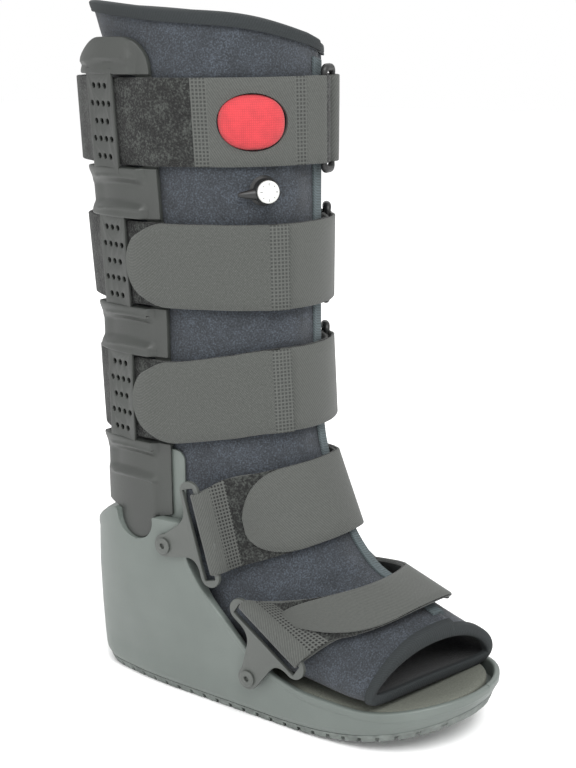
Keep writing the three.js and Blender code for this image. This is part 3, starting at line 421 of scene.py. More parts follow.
ANKLE_BRACKET = dict(face=62.4, high=(-44.1, 144), low=(-59, 93), rivet=(-21.9, 105.65))
FORE_BRACKET = dict(face=60.4, high=(-79.2, 75.9), low=(-119.1, 47.85), rivet=(-84.05, 31.6))
FOOT_STRAPS = {
    "ankle": dict(bracket=ANKLE_BRACKET, high=(7.95, 8.05), low=(10.1, 10.2), lift=0, reach=1.05),
    "forefoot": dict(bracket=FORE_BRACKET, high=(11.5, 13), low=(14.2, 15.8), lift=6, reach=1.28),
}
# Stations of a rounded free end: turn, layers above the liner, share of the strap's width.
FOOT_TIP = (
    (-26, 1.08, 1), (-30, 1.18, 1), (-33, 1.3, 0.99), (-36, 1.48, 0.96), (-38, 1.62, 0.93),
    (-41, 1.8, 0.86), (-44, 1.98, 0.76), (-46.5, 2.14, 0.64), (-48.5, 2.28, 0.5), (-50, 2.38, 0.36),
    (-51, 2.44, 0.2),
)
# From the middle of a bracket to the middle of the bar that its strap turns round.
BAR_SHIFT = BRACKET_SLOT / 2 + (6 - BRACKET_SLOT / 2) / 2


def foot_edge(strap, level):
    """One edge of a strap over the foot: (turn, point) from its sewn end to its free end."""
    bracket = strap["bracket"]
    top, bottom = Vector((0, *bracket["high"])), Vector((0, *bracket["low"]))
    along = (top - bottom).normalized()
    front = Vector((0, -along.z, along.y))
    bar = top.lerp(bottom, 0.5) + front * BAR_SHIFT + along * (level * STRAP_WIDTH / 2)
    line = []

    def step(turn, layer, narrow=1):
        share = cosine(turn) ** 2
        ends = lerp(*strap["low"], share), lerp(*strap["high"], share)
        place = lerp(*ends, (1 + level * narrow) / 2)
        stand = strap["lift"] * share
        offset = 3 * CLEARANCE + flap_clear(turn) + stand + STRAP_THICK / 2 + layer * LAYER_STEP
        line.append((turn, liner_point(place, turn, offset)))

    radius = BRACKET_BAR + CLEARANCE + STRAP_THICK / 2

    def fold(side):
        for i in range(5):
            angle = lerp(150, -50, i / 4)
            point = bar - front * radius * sine(angle)
            point.x = side * (bracket["face"] + BRACKET_THICK / 2 + radius * cosine(angle))
            line.append((side * 80, point))

    step(-46, 0)
    step(-56, 0)
    fold(-1)
    step(-60, 1.8)
    step(-50, 1.2)
    step(-38, 0.5)
    for turn in (-26, -13, 0, 13, 26, 40, 54):
        step(turn, 0)
    fold(1)
    step(58, 1.8)
    step(49, 1.2)
    for turn in (40, 26, 13, 0, -13):
        step(turn, 1.03)
    for turn, layer, narrow in FOOT_TIP:
        more = (strap["reach"] - 1) * smooth(-turn, 26, 51)
        step(turn * (1 + more), layer + 2 * more, narrow)
    return line


# The sole's outline: share of the length from the heel and of the half width, there and at the collar.
OUTLINE_ROWS = (
    dict(along=0, half=0, collar_along=0.024, collar_half=0),
    dict(along=0.008, half=0.3, collar_along=0.03, collar_half=0.34),
    dict(along=0.036, half=0.58, collar_along=0.055, collar_half=0.66),
    dict(along=0.075, half=0.72, collar_along=0.09, collar_half=0.84),
    dict(along=0.16, half=0.82, collar_along=0.16, collar_half=1.02),
    dict(along=0.25, half=0.88, collar_along=0.25, collar_half=1.07),
    dict(along=0.36, half=0.91, collar_along=0.36, collar_half=1.06),
    dict(along=0.48, half=0.94, collar_along=0.48, collar_half=1.02),
    dict(along=0.6, half=0.97, collar_along=0.6, collar_half=1.0),
    dict(along=0.72, half=1, collar_along=0.72, collar_half=1),
    dict(along=0.82, half=0.97, collar_along=0.82, collar_half=0.97),
    dict(along=0.9, half=0.83, collar_along=0.9, collar_half=0.83),
    dict(along=0.955, half=0.6, collar_along=0.955, collar_half=0.6),
    dict(along=0.99, half=0.3, collar_along=0.99, collar_half=0.3),
    dict(along=1, half=0, collar_along=1, collar_half=0),
)


def spline_point(points, i, share):
    """A point on the centripetal Catmull-Rom curve, between points i and i + 1."""
    p = [points[clamp(i + k, 0, len(points) - 1)] for k in (-1, 0, 1, 2)]
    knots = [0.0]
    for a, b in zip(p, p[1:]):
        knots.append(knots[-1] + max((b - a).length_squared ** 0.25, 1e-4))
    t = lerp(knots[1], knots[2], share)

    def between(a, b, low, high):
        return a.lerp(b, (t - knots[low]) / (knots[high] - knots[low]))

    first = [between(p[k], p[k + 1], k, k + 1) for k in range(3)]
    second = [between(first[k], first[k + 1], k, k + 2) for k in range(2)]
    return between(*second, 1, 2)


def spline_loop(points, count):
    """Points and tangents at even shares of a closed curve."""
    size = len(points)
    unrolled = [points[i % size] for i in range(-2, size + 3)]
    made = []
    for i in range(count):
        place = size * i / count
        k = int(place)
        here = spline_point(unrolled, k + 2, place - k)
        back = spline_point(unrolled, k + 2, place - k - 0.02)
        made.append((here, (here - back).normalized()))
    return made


OUTLINE_COUNT = 192


def outline_at(up):
    """The sole's outline in plan, from the heel by the near side, as (point, way in)."""
    near = [
        Vector((
            -SOLE_WIDTH / 2 * lerp(row["half"], row["collar_half"], up),
            HEEL_BACK - SOLE_LENGTH * lerp(row["along"], row["collar_along"], up),
            0,
        ))
        for row in OUTLINE_ROWS
    ]
    far = [Vector((-p.x, p.y, 0)) for p in reversed(near[1:-1])]
    return [(p, Vector((-t.y, t.x, 0))) for p, t in spline_loop(near + far, OUTLINE_COUNT)]


def ground_at(y):
    along = (HEEL_BACK - y) / SOLE_LENGTH
    toe = max(0, (along - 0.58) / 0.42)
    heel = max(0, (0.09 - along) / 0.09)
    return TOE_SPRING * toe**2 + HEEL_SPRING * heel**2


def rim_at(y):
    return RIM_HEIGHT + RIM_RISE * smooth((HEEL_BACK - y) / SOLE_LENGTH, 0.8, 1.03)


def floor_at(y):
    return rim_at(y) - RIM_HEIGHT + FLOOR_HEIGHT


# Edge of the shell seen from the side: share of the length, and of the way from the rim to the collar.
WALL_ROWS = (
    (-0.05, 0.82),
    (0.06, 0.82),
    (0.13, 0.96),
    (0.16, 1),
    (0.363, 1),
    (0.374, 0.74),
    (0.4, 0.6),
    (0.445, 0.44),
    (0.52, 0.21),
    (0.59, 0.075),
    (0.66, 0.02),
    (0.8, 0),
)


# Mesh helpers


def named(name):
    """The active object takes this name, and so does its mesh."""
    piece = bpy.context.object
    piece.name = name
    piece.data.name = name
    return piece


def clear_selection():
    if bpy.context.object and bpy.context.object.mode != "OBJECT":
        bpy.ops.object.mode_set(mode="OBJECT")
    bpy.ops.object.select_all(action="DESELECT")


def select_only(piece):
    clear_selection()
    piece.select_set(True)
    bpy.context.view_layer.objects.active = piece


def edit_all(piece, *steps):
    """Runs edit-mode steps on the whole mesh."""
    select_only(piece)
    bpy.ops.object.mode_set(mode="EDIT")
    bpy.ops.mesh.select_all(action="SELECT")
    for step in steps:
        step()
    bpy.ops.object.mode_set(mode="OBJECT")


def weld():
    bpy.ops.mesh.remove_doubles(threshold=2e-6)


def face_outwards():
    bpy.ops.mesh.normals_make_consistent(inside=False)


def modify(piece, kind, **settings):
    """Adds one modifier with its settings and applies it."""
    select_only(piece)
    modifier = piece.modifiers.new(kind.title(), kind)
    for key, value in settings.items():
        setattr(modifier, key, value)
    bpy.ops.object.modifier_apply(modifier=modifier.name)


def round_edges(piece, width, segments, angle, clamped=False):
    """Bevels the edges whose faces meet at more than the angle."""
    modify(
        piece,
        "BEVEL",
        width=width * MM,
        segments=segments,
        limit_method="ANGLE",
        angle_limit=math.radians(angle),
        use_clamp_overlap=clamped,
    )


def smooth_faces(piece, angle):
    """Shades the faces smooth, apart from edges sharper than the angle."""
    select_only(piece)
    bpy.ops.object.shade_smooth_by_angle(angle=math.radians(angle), keep_sharp_edges=False)


def carve(piece, *cutters):
    """Takes the cutters' room out of the piece and removes them."""
    for cutter in cutters:
        modify(piece, "BOOLEAN", object=cutter, operation="DIFFERENCE", solver="EXACT")
        bpy.data.objects.remove(cutter)


def join(pieces, name):
    """Makes one object of several, under a name."""
    clear_selection()
    for piece in pieces:
        piece.select_set(True)
    bpy.context.view_layer.objects.active = pieces[0]
    bpy.ops.object.join()
    return named(name)


def mirrored_copy(piece, name):
    """The same piece on the far side of the boot, with its own mesh."""
    select_only(piece)
    bpy.ops.object.duplicate()
    copy = named(name)
    copy.data.transform(Matrix.Diagonal((-1, 1, 1, 1)))
    edit_all(copy, bpy.ops.mesh.flip_normals)
    return copy


def surface(name, table, cloth=None, slot_of=None):
    """A mesh through a table of points in millimetres, one column after another.

    Columns or rows that meet are welded. cloth gives each point its place on the flat cloth, and
    slot_of(column, row) gives each face its material slot."""
    columns, rows = len(table) - 1, len(table[0]) - 1
    clear_selection()
    bpy.ops.mesh.primitive_grid_add(x_subdivisions=columns, y_subdivisions=rows, size=1)
    piece = named(name)
    mesh = piece.data
    places = [
        (round((v.co.x + 0.5) * columns), round((v.co.y + 0.5) * rows)) for v in mesh.vertices
    ]
    for vertex, (i, j) in zip(mesh.vertices, places):
        vertex.co = table[i][j] * MM
    if cloth:
        layer = mesh.uv_layers.active
        layer.name = "cloth"
        for loop, entry in zip(mesh.loops, layer.data):
            i, j = places[loop.vertex_index]
            entry.uv = [value * MM for value in cloth[i][j]]
    if slot_of:
        for face in mesh.polygons:
            corners = [places[v] for v in face.vertices]
            face.material_index = slot_of(*(min(c[k] for c in corners) for k in (0, 1)))
    edit_all(piece, weld, face_outwards)
    return piece


def middle_of(points):
    """The middle of a loop of points whose last one repeats the first."""
    return sum(points[1:], Vector()) / (len(points) - 1)


def solid_of_sections(name, sections, around=False, cloth=None, slot_of=None):
    """A closed mesh through loops of points, closed on itself or capped at both ends."""
    table = [[*section, section[0]] for section in sections]
    if around:
        return surface(name, [*table, table[0]], cloth, slot_of)
    caps = [[middle_of(table[end])] * len(table[end]) for end in (0, -1)]
    table = [caps[0], *table, caps[1]]
    cloth = cloth and [cloth[0], *cloth, cloth[-1]]
    return surface(name, table, cloth, slot_of)


def turned(name, profile, place, steps=48):
    """A round solid from (radius, height) pairs, about the Z axis of a matrix."""
    table = [
        [
            place @ Vector((r * sine(360 * i / steps), r * cosine(360 * i / steps), h))
            for r, h in profile
        ]
        for i in range(steps + 1)
    ]
    return surface(name, table)


def tube(name, path, radii, normal, around=False, sides=14):
    """A round bar along points, with a radius at each. The path lies across the normal."""
    sections = []
    count = len(path)
    for i, point in enumerate(path):
        before = path[(i - 1) % count] if around or i else point
        after = path[(i + 1) % count] if around or i < count - 1 else point
        along = (after - before).normalized()
        first = normal.cross(along).normalized()
        second = along.cross(first)
        size = radii[i]
        sections.append([
            point + first * size * cosine(360 * k / sides) + second * size * sine(360 * k / sides)
            for k in range(sides)
        ])
    return solid_of_sections(name, sections, around)


def cross(a, b, c):
    """Twice the area of the triangle a, b, c, above 0 where it turns left."""
    return (b[0] - a[0]) * (c[1] - a[1]) - (b[1] - a[1]) * (c[0] - a[0])


def round_hull(*circles):
    """The outline round a set of circles (y, z, radius), as (y, z) pairs."""
    points = sorted(
        (y + r * cosine(7.5 * i), z + r * sine(7.5 * i)) for y, z, r in circles for i in range(48)
    )

    def half(ordered):
        hull = []
        for p in ordered:
            while len(hull) > 1 and cross(hull[-2], hull[-1], p) <= 0.002:
                hull.pop()
            hull.append(p)
        return hull[:-1]

    return [*half(points), *half(points[::-1])]


def side_plate(name, outline, inner, outer):
    """A flat plate on the near side, from an outline in Y and Z."""
    clear_selection()
    bpy.ops.mesh.primitive_circle_add(vertices=len(outline), radius=1, fill_type="NGON")
    piece = named(name)
    for vertex, (y, z) in zip(piece.data.vertices, outline):
        vertex.co = Vector((-inner, y, z)) * MM

    def extrude():
        move = {"value": (-(outer - inner) * MM, 0, 0)}
        bpy.ops.mesh.extrude_region_move(TRANSFORM_OT_translate=move)
        bpy.ops.mesh.select_all(action="SELECT")

    edit_all(piece, extrude, face_outwards)
    return piece


def soft_line(points, spread, pitch=1.0):
    """Even points along straight lines, with each corner eased over the spread."""
    fine = []
    for a, b in zip(points, points[1:]):
        count = max(1, round((b - a).length / pitch))
        fine += [a.lerp(b, i / count) for i in range(count)]
    fine.append(points[-1])
    reach = max(1, round(spread / pitch / 2))
    eased = []
    for i in range(len(fine)):
        span = min(reach, i, len(fine) - 1 - i)
        near = fine[i - span : i + span + 1]
        eased.append(sum(near, Vector()) / len(near))
    return eased


def settle(piece, node, body="boot"):
    """The finished piece takes its name, rides its body and stands for its solid."""
    piece.name = piece.data.name = node + "_finish"
    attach(piece, body)
    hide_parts(node)
    return piece


# Material helpers


def linear(code):
    """An sRGB hex colour as linear red, green, blue and alpha."""
    parts = [int(code[i : i + 2], 16) / 255 for i in (1, 3, 5)]
    return (*(c / 12.92 if c <= 0.04045 else ((c + 0.055) / 1.055) ** 2.4 for c in parts), 1.0)


def add_node(tree, kind, inputs=None, **settings):
    """Adds one node with its settings. An input is a value, or the socket that feeds it."""
    node = tree.nodes.new("ShaderNode" + kind)
    for key, value in settings.items():
        setattr(node, key, value)
    for key, value in (inputs or {}).items():
        if isinstance(value, bpy.types.NodeSocket):
            tree.links.new(value, node.inputs[key])
        else:
            node.inputs[key].default_value = value
    return node


def scaled(code, share):
    """A hex colour made lighter or darker."""
    parts = [round(clamp(int(code[i : i + 2], 16) * share, 0, 255)) for i in (1, 3, 5)]
    return "#%02x%02x%02x" % tuple(parts)


def tint(tree, shader, factor, colour, *stops):
    """Base colour along a factor, from (place, how light) pairs in order."""
    node = add_node(tree, "ValToRGB", {"Fac": factor})
    steps = node.color_ramp.elements
    steps[0].position, steps[-1].position = stops[0][0], stops[-1][0]
    for place, _ in stops[1:-1]:
        steps.new(place)
    for step, (_, light) in zip(steps, stops):
        step.color = linear(scaled(colour, light))
    tree.links.new(node.outputs["Color"], shader.inputs["Base Color"])


def math_node(tree, operation, *values):
    inputs = dict(enumerate(values))
    return add_node(tree, "Math", inputs, operation=operation).outputs[0]


def blend(tree, first, share, second, rest):
    """The sum of two values, each taken with its share."""
    if rest != 1:
        second = math_node(tree, "MULTIPLY", second, rest)
    return math_node(tree, "MULTIPLY_ADD", first, share, second)


def patches(tree, place, size, detail=2.0):
    """Noise whose patches are about that many millimetres across."""
    settings = {"Vector": place, "Scale": 1 / (size * MM), "Detail": detail, "Roughness": 0.6}
    return add_node(tree, "TexNoise", settings).outputs["Fac"]


def stripes(tree, place, pitch, direction="X", turn=0.0):
    """Smooth stripes at that pitch in millimetres, across one axis of a place turned by degrees."""
    if turn:
        spin = {"Vector": place, "Rotation": (0, 0, math.radians(turn))}
        place = add_node(tree, "Mapping", spin).outputs["Vector"]
    settings = {"Vector": place, "Scale": math.pi / (10 * pitch * MM)}
    node = add_node(tree, "TexWave", settings, bands_direction=direction, wave_profile="SIN")
    return node.outputs["Fac"]


def new_material(name, colour, roughness, **surface):
    """A material and its tree and shader, with plain values on the shader's own sockets."""
    material = bpy.data.materials.new(name)
    material.use_nodes = True
    tree = material.node_tree
    shader = tree.nodes["Principled BSDF"]
    shader.inputs["Base Color"].default_value = linear(colour)
    shader.inputs["Roughness"].default_value = roughness
    for key, value in surface.items():
        shader.inputs[key.replace("_", " ")].default_value = value
    return material, tree, shader


def relief(tree, shader, height, deep, strength):
    """Bump that stands up to that many millimetres."""
    bump = add_node(tree, "Bump", {"Height": height, "Distance": deep * MM, "Strength": strength})
    tree.links.new(bump.outputs["Normal"], shader.inputs["Normal"])


def object_place(tree):
    return add_node(tree, "TexCoord").outputs["Object"]


def cloth_place(tree):
    return add_node(tree, "UVMap", uv_map="cloth").outputs["UV"]


def moulded_plastic(name, colour):
    """Injection-moulded nylon with a spark-eroded grain: broad soft highlights, faintly uneven."""
    material, tree, shader = new_material(name, colour, 0.45)
    place = object_place(tree)
    tint(tree, shader, patches(tree, place, 45), colour, (0.3, 0.955), (0.7, 1.03))
    fine = patches(tree, place, 1.1, 3)
    sheen = add_node(tree, "MapRange", {"Value": fine, "To Min": 0.39, "To Max": 0.55})
    tree.links.new(sheen.outputs["Result"], shader.inputs["Roughness"])
    relief(tree, shader, fine, 0.12, 0.7)
    return material


def woven_webbing(name, colour):
    """Twill-woven polyester tape: fine slanting ribs and a dull, slightly mottled face."""
    material, tree, shader = new_material(name, colour, 0.86, Sheen_Weight=0.1)
    place = cloth_place(tree)
    # The slanting ribs are drawn at 1.3 mm, coarser than the real weave, so that they show.
    ribs = stripes(tree, place, 1.3, "X", 32)
    threads = stripes(tree, place, 0.8, "Y")
    mixed = blend(tree, ribs, 0.4, patches(tree, place, 1.6, 4), 0.6)
    tint(tree, shader, mixed, colour, (0.2, 0.84), (0.5, 1), (0.8, 1.15))
    relief(tree, shader, blend(tree, threads, 0.4, ribs, 1), 0.16, 0.7)
    return material


def napped_knit(name, colour):
    """Warp-knit face of a hook tab: a close, faintly crossed diagonal grain that looks almost plain."""
    material, tree, shader = new_material(name, colour, 0.9, Sheen_Weight=0.15)
    place = cloth_place(tree)
    # The crossed grain is drawn at 1.1 mm, coarser than the real knit, so that it shows.
    threads = [stripes(tree, place, 1.1, "X", turn) for turn in (45, -38)]
    grain = math_node(tree, "MULTIPLY", *threads)
    mixed = blend(tree, grain, 0.3, patches(tree, place, 1.3, 4), 0.7)
    tint(tree, shader, mixed, colour, (0.2, 0.78), (0.5, 1), (0.8, 1.3))
    relief(tree, shader, mixed, 0.2, 0.7)
    return material


def faintly_sewn(name, colour):
    """Webbing with close rows of stitches in its own colour: the grid hardly shows."""
    return stitched_webbing(name, colour, 0.72, 1.12)


def stitched_webbing(name, colour, dark=0.22, light=1.1):
    """Webbing sewn through in a close grid: pale crossing threads round rows of dark dimples."""
    material, tree, shader = new_material(name, colour, 0.85)
    place = cloth_place(tree)
    grid = math_node(tree, "MAXIMUM", *(stripes(tree, place, 2.2, way) for way in "YX"))
    height = blend(tree, patches(tree, place, 1.2, 3), 0.25, grid, 1)
    tint(tree, shader, height, colour, (0.45, dark), (0.85, 1), (1.15, light))
    relief(tree, shader, height, 0.5, 0.9)
    return material


def loop_pile(name, colour):
    """Brushed nylon loops: a dark, speckled nap without any shine."""
    material, tree, shader = new_material(name, colour, 1.0, Sheen_Weight=0.1)
    place = object_place(tree)
    loops = patches(tree, place, 1.3, 3)
    mixed = blend(tree, patches(tree, place, 7, 2), 0.35, loops, 0.7)
    tint(tree, shader, mixed, colour, (0.38, 0.4), (0.5, 1), (0.66, 3.0))
    relief(tree, shader, loops, 1.1, 1.0)
    return material


def brushed_felt(name, colour):
    """Needled felt over foam: dark matted fibres salted with pale specks, no gloss."""
    material, tree, shader = new_material(name, colour, 1.0, Sheen_Weight=0.12)
    place = object_place(tree)
    # The specks are drawn at about 1 mm, coarser than the real fibres, so that they show.
    fibres = patches(tree, place, 1.0, 5)
    mixed = blend(tree, patches(tree, place, 16, 3), 0.25, fibres, 0.75)
    tint(tree, shader, mixed, colour, (0.36, 0.68), (0.5, 1), (0.64, 1.5))
    relief(tree, shader, fibres, 0.6, 0.7)
    return material


def bias_tape(name, colour):
    """Ribbed binding tape: close slanting ribs under a faint fuzz."""
    material, tree, shader = new_material(name, colour, 0.9)
    place = cloth_place(tree)
    ribs = stripes(tree, place, 1.5, "X", 25)
    mixed = blend(tree, ribs, 0.35, patches(tree, place, 1.6, 3), 0.65)
    tint(tree, shader, mixed, colour, (0.2, 0.78), (0.8, 1.2))
    relief(tree, shader, mixed, 0.3, 0.8)
    return material


def knitted_cover(name, colour):
    """Fine stretch knit drawn over a soft bulb: tiny columns of stitches in a clear colour."""
    material, tree, shader = new_material(name, colour, 0.78, Sheen_Weight=0.1)
    place = cloth_place(tree)
    knit = math_node(tree, "MULTIPLY", stripes(tree, place, 1.0), stripes(tree, place, 1.3, "Y"))
    mixed = blend(tree, knit, 0.4, patches(tree, object_place(tree), 6, 2), 0.6)
    tint(tree, shader, mixed, colour, (0.1, 0.84), (0.8, 1.1))
    relief(tree, shader, knit, 0.15, 0.6)
    return material


def tread_rubber(name, colour):
    """Moulded rubber: dark, matt, with a slightly chalky bloom."""
    material, tree, shader = new_material(name, colour, 0.75)
    place = object_place(tree)
    tint(tree, shader, patches(tree, place, 9, 3), colour, (0.3, 0.85), (0.75, 1.25))
    relief(tree, shader, patches(tree, place, 1.0, 2), 0.15, 0.6)
    return material


def pressed_foam(name, colour):
    """Closed-cell foam sheet: an even matt face with fine pores."""
    material, tree, shader = new_material(name, colour, 0.92)
    pores = patches(tree, object_place(tree), 0.9, 2)
    tint(tree, shader, pores, colour, (0.3, 0.88), (0.7, 1.1))
    relief(tree, shader, pores, 0.25, 0.6)
    return material


def matt_floor(name, colour):
    """Painted studio floor: plain and matt, so that only the boot's soft shadow marks it."""
    return new_material(name, colour, 0.9)[0]


# Sizes and colours that a user can change


def channels(code):
    """A hex colour as three shares, as a colour field shows it."""
    return tuple(int(code[i : i + 2], 16) / 255 for i in (1, 3, 5))


def colour_field(name, description, code):
    return bpy.props.FloatVectorProperty(
        name=name,
        description=description,
        subtype="COLOR_GAMMA",
        size=3,
        min=0,
        max=1,
        default=channels(code),
    )


def length_field(name, description, default, low, high):
    return bpy.props.FloatProperty(
        name=name, description=description, default=default, min=low, max=high
    )


class BootLooksSizes(bpy.types.PropertyGroup):
    """Soft and small sizes of the looks, in millimetres"""

    puff: length_field("Liner puff", "How far the liner bulges between the straps, in mm", 2.0, 0, 4)
    wrinkle: length_field("Liner wrinkles", "Depth of the small wrinkles of the liner, in mm", 0.5, 0, 1)
    edge: length_field("Plastic edges", "Rounding of the moulded edges, in mm", 0.7, 0.1, 1.5)
    lip: length_field("Shell lip", "Radius of the rolled lip along the shell's wall, in mm", 1.5, 0.5, 1.7)
    selvedge: length_field("Strap edges", "Rounding of the straps' edges, in mm", 0.5, 0.1, 0.8)


class BootLooksColours(bpy.types.PropertyGroup):
    """Colours of the looks"""

    shell: colour_field("Shell", "Moulded shell of the foot", "#5b625e")
    uprights: colour_field("Uprights", "Side uprights", "#313331")
    brackets: colour_field("Brackets", "Strap brackets and their rivets", "#484b48")
    webbing: colour_field("Webbing", "Woven straps", "#434542")
    pile: colour_field("Loop pile", "Looped faces of the straps", "#141514")
    felt: colour_field("Liner", "Felt of the liner", "#2c3035")
    tape: colour_field("Binding", "Tape along the liner's edges", "#474f52")
    edging: colour_field("Edging", "Tape folded over the liner's top and toe", "#1e2224")
    lining: colour_field("Lining", "Inside of the liner", "#17181a")
    bulb: colour_field("Pump", "Knitted cover of the pump", "#b62f36")
    ring: colour_field("Rings", "Bars of the rings and the valve's housing", "#161717")
    dial: colour_field("Dial", "Disc of the air valve", "#c4c5c2")
    sole: colour_field("Tread", "Rubber of the tread", "#5b605d")
    footbed: colour_field("Footbed", "Foam of the footbed", "#5d5f57")
    floor: colour_field("Floor", "Studio floor", "#ffffff")


def sizes():
    return bpy.context.scene.boot_looks_sizes


def hex_of(key):
    """One of the chosen colours as a hex code."""
    values = getattr(bpy.context.scene.boot_looks_colours, key)
    return "#%02x%02x%02x" % tuple(round(255 * value) for value in values)


MATERIALS = {
    "shell": (moulded_plastic, "Moulded nylon, spark-eroded grain", "shell"),
    "uprights": (moulded_plastic, "Moulded nylon, darker side parts", "uprights"),
    "webbing": (woven_webbing, "Twill-woven polyester webbing", "webbing"),
    "stitched": (stitched_webbing, "Webbing sewn through in a grid", "webbing"),
    "sewn": (faintly_sewn, "Webbing with rows of fine stitches", "webbing"),
    "brackets": (moulded_plastic, "Moulded nylon, strap brackets", "brackets"),
    "edging": (bias_tape, "Ribbed polyester edging", "edging"),
    "pile": (loop_pile, "Brushed nylon loop pile", "pile"),
    "felt": (brushed_felt, "Needled felt over foam", "felt"),
    "knit": (napped_knit, "Napped warp-knit tab", "webbing"),
    "tape": (bias_tape, "Ribbed polyester binding tape", "tape"),
    "lining": (brushed_felt, "Brushed tricot lining", "lining"),
    "bulb": (knitted_cover, "Fine stretch knit over a rubber bulb", "bulb"),
    "black": (moulded_plastic, "Moulded acetal, black", "ring"),
    "dial": (moulded_plastic, "Moulded acetal, white", "dial"),
    "sole": (tread_rubber, "Moulded tread rubber", "sole"),
    "footbed": (pressed_foam, "Closed-cell foam sheet", "footbed"),
    "floor": (matt_floor, "Painted studio floor", "floor"),
}


def material(key):
    """One of the boot's materials, made the first time it is asked for."""
    make, name, colour = MATERIALS[key]
    return bpy.data.materials.get(name) or make(name, hex_of(colour))


def clothe(piece, *keys):
    for key in keys:
        piece.data.materials.append(material(key))


def dress(piece, angle, *keys):
    """Gives the piece its materials and smooths its faces up to an angle."""
    clothe(piece, *keys)
    smooth_faces(piece, angle)


# The liner and its bindings

STEP_TURNS = (0, 0.3, 0.6, 0.9, 1.2, 1.5, 1.9, 2.5, 3.5)
LINER_TURNS = [FLAP_EDGE + t for t in (*STEP_TURNS, *(3.5 + 356.5 * i / 116 for i in range(1, 117)))]
FINE_ROWS = [LAST_ROW * i / 160 for i in range(161)]


def between_straps(z):
    """1 between the calf straps and 0 under them."""
    middles = (STRAP_MIDDLE + STRAP_SPACING, STRAP_MIDDLE, STRAP_MIDDLE - STRAP_SPACING + 5)
    return min(smooth(abs(z - middle), 27, 37) for middle in middles)


def liner_cover(place, turn):
    """Offset of the liner's outer face: its flap, the puff between the straps, small wrinkles."""
    turned = wrap_turn(turn)
    spot = liner_point(place, turned, 0)
    free = between_straps(spot.z) * (1 - brace_share(turned)) if place < 6 else 0
    clear = smooth(abs(turned - TAPE_MIDDLE), 8, 22)
    free *= smooth(place, 1.3, 2.2) * clear * smooth(-place, -5.9, -5.2)
    foot = smooth(place, 6.2, 7.2) * (1 - smooth(place, 7.4, 8.2))
    foot = max(foot, smooth(place, 10.4, 11) * (1 - smooth(place, 11.4, 12)))
    foot *= max(0, cosine(turned)) * clear
    # The near side is full; past the flap's edge the leg falls in between the straps.
    full = sizes().puff if turned < FLAP_EDGE else -1.5 * sizes().puff
    wave = noise.noise(spot * 0.045) + 0.5 * noise.noise(spot * 0.13)
    puff = full * free + 0.8 * sizes().puff * foot
    return flap_proud(turned) + puff * (1 + 0.35 * wave) + 0.6 * sizes().wrinkle * wave * (free + foot)


def wall_at(place):
    """Thickness of the liner's wall, thinner towards the toe."""
    return LINER_WALL - 3 * smooth(place, LAST_ROW - 3, LAST_ROW)


def make_liner():
    outer_rows = len(FINE_ROWS)
    table = []
    for turn in LINER_TURNS:
        turned = wrap_turn(turn)
        outer = [liner_point(p, turned, liner_cover(p, turned)) for p in FINE_ROWS]
        inner = [liner_point(p, turned, -wall_at(p)) for p in FINE_ROWS[::-2]]
        table.append([*outer, *inner, outer[0]])
    piece = surface("liner", table, slot_of=lambda i, j: int(j >= outer_rows - 1))
    dress(piece, 60, "felt", "lining")
    return settle(piece, "liner")


def cloth_along(sections, mark, pitch):
    """Places on the flat cloth of a tape, by the way that one point of its section goes."""
    cloth, length, before = [], 0.0, sections[0][mark]
    for section in sections:
        length += (section[mark] - before).length
        before = section[mark]
        cloth.append([(length, pitch * j) for j in range(len(section) + 1)])
    return cloth


def edge_tape(name, end, deep):
    """A tape folded over the liner's edge at its top or toe, padded over the edge."""
    sections = []
    # The toe's tape is folded over less of the felt than the top's.
    fold = BINDING_DEEP * (0.8 if end == 0 else 0.55)
    for turn in LINER_TURNS:
        turned = wrap_turn(turn)
        proud = flap_proud(turned)

        def at(offset, beyond):
            point = liner_point(end, turned, offset)
            away = (point - liner_point(end + deep, turned, offset)).normalized()
            return point + away * beyond

        out, inn = proud + CLEARANCE, -wall_at(end) - 2 * CLEARANCE
        outer, inner = out + BINDING_THICK, inn - BINDING_THICK
        crown = BINDING_THICK + CLEARANCE + (1 if end == 0 else 0)
        middle, half = (outer + inner) / 2, (outer - inner) / 2
        arch = [
            at(middle + half * cosine(a), crown * sine(a) ** 0.8) for a in range(0, 181, 15)
        ]
        pinch = 0.25
        sections.append([
            at(out, -fold),
            at(outer - pinch, -fold),
            at(outer, -0.84 * fold),
            at(outer - pinch, -0.68 * fold),
            at(outer, -0.46 * fold),
            at(outer, -0.3 * fold),
            *arch,
            at(inner, -0.3 * fold),
            at(inner, -fold),
            at(inn, -fold),
            at(inn, CLEARANCE),
            at(out, CLEARANCE),
        ])
    table = [[*section, section[0]] for section in sections]
    piece = surface(name, table, cloth_along(sections, 4, 1.4))
    dress(piece, 55, "edging")
    return piece


def make_top_binding():
    piece = edge_tape("binding_top", 0, 0.32)
    return settle(piece, "binding_top")


def make_toe_binding():
    piece = edge_tape("binding_toe", LAST_ROW, -0.32)
    return settle(piece, "binding_toe")


def make_front_tape():
    """The tape along the outer flap's edge, down the shin and over the instep."""
    sections = []
    proud = FLAP_STEP + CLEARANCE
    top = proud + BINDING_THICK
    # Turn from the flap's edge and offset from the liner, round the tape.
    outline = (
        (-7, proud), (-7, top - 0.3), (-6.6, top), (-5.6, top - 0.25), (-4.6, top), (0, top),
        (1.2, top - 0.2), (2.4, top - 0.9), (3.4, proud + 0.1), (4, proud - 1), (4, CLEARANCE),
        (2.2, CLEARANCE), (1, proud),
    )
    count = 170
    for k in range(count + 1):
        place = lerp(1.08, LAST_ROW - 0.94, k / count)
        sections.append([liner_point(place, FLAP_EDGE + turn, offset) for turn, offset in outline])
    cloth = cloth_along(sections, 2, 1.3)
    piece = solid_of_sections("binding_front", sections, cloth=cloth)
    dress(piece, 55, "tape")
    return settle(piece, "binding_front")


# The uprights


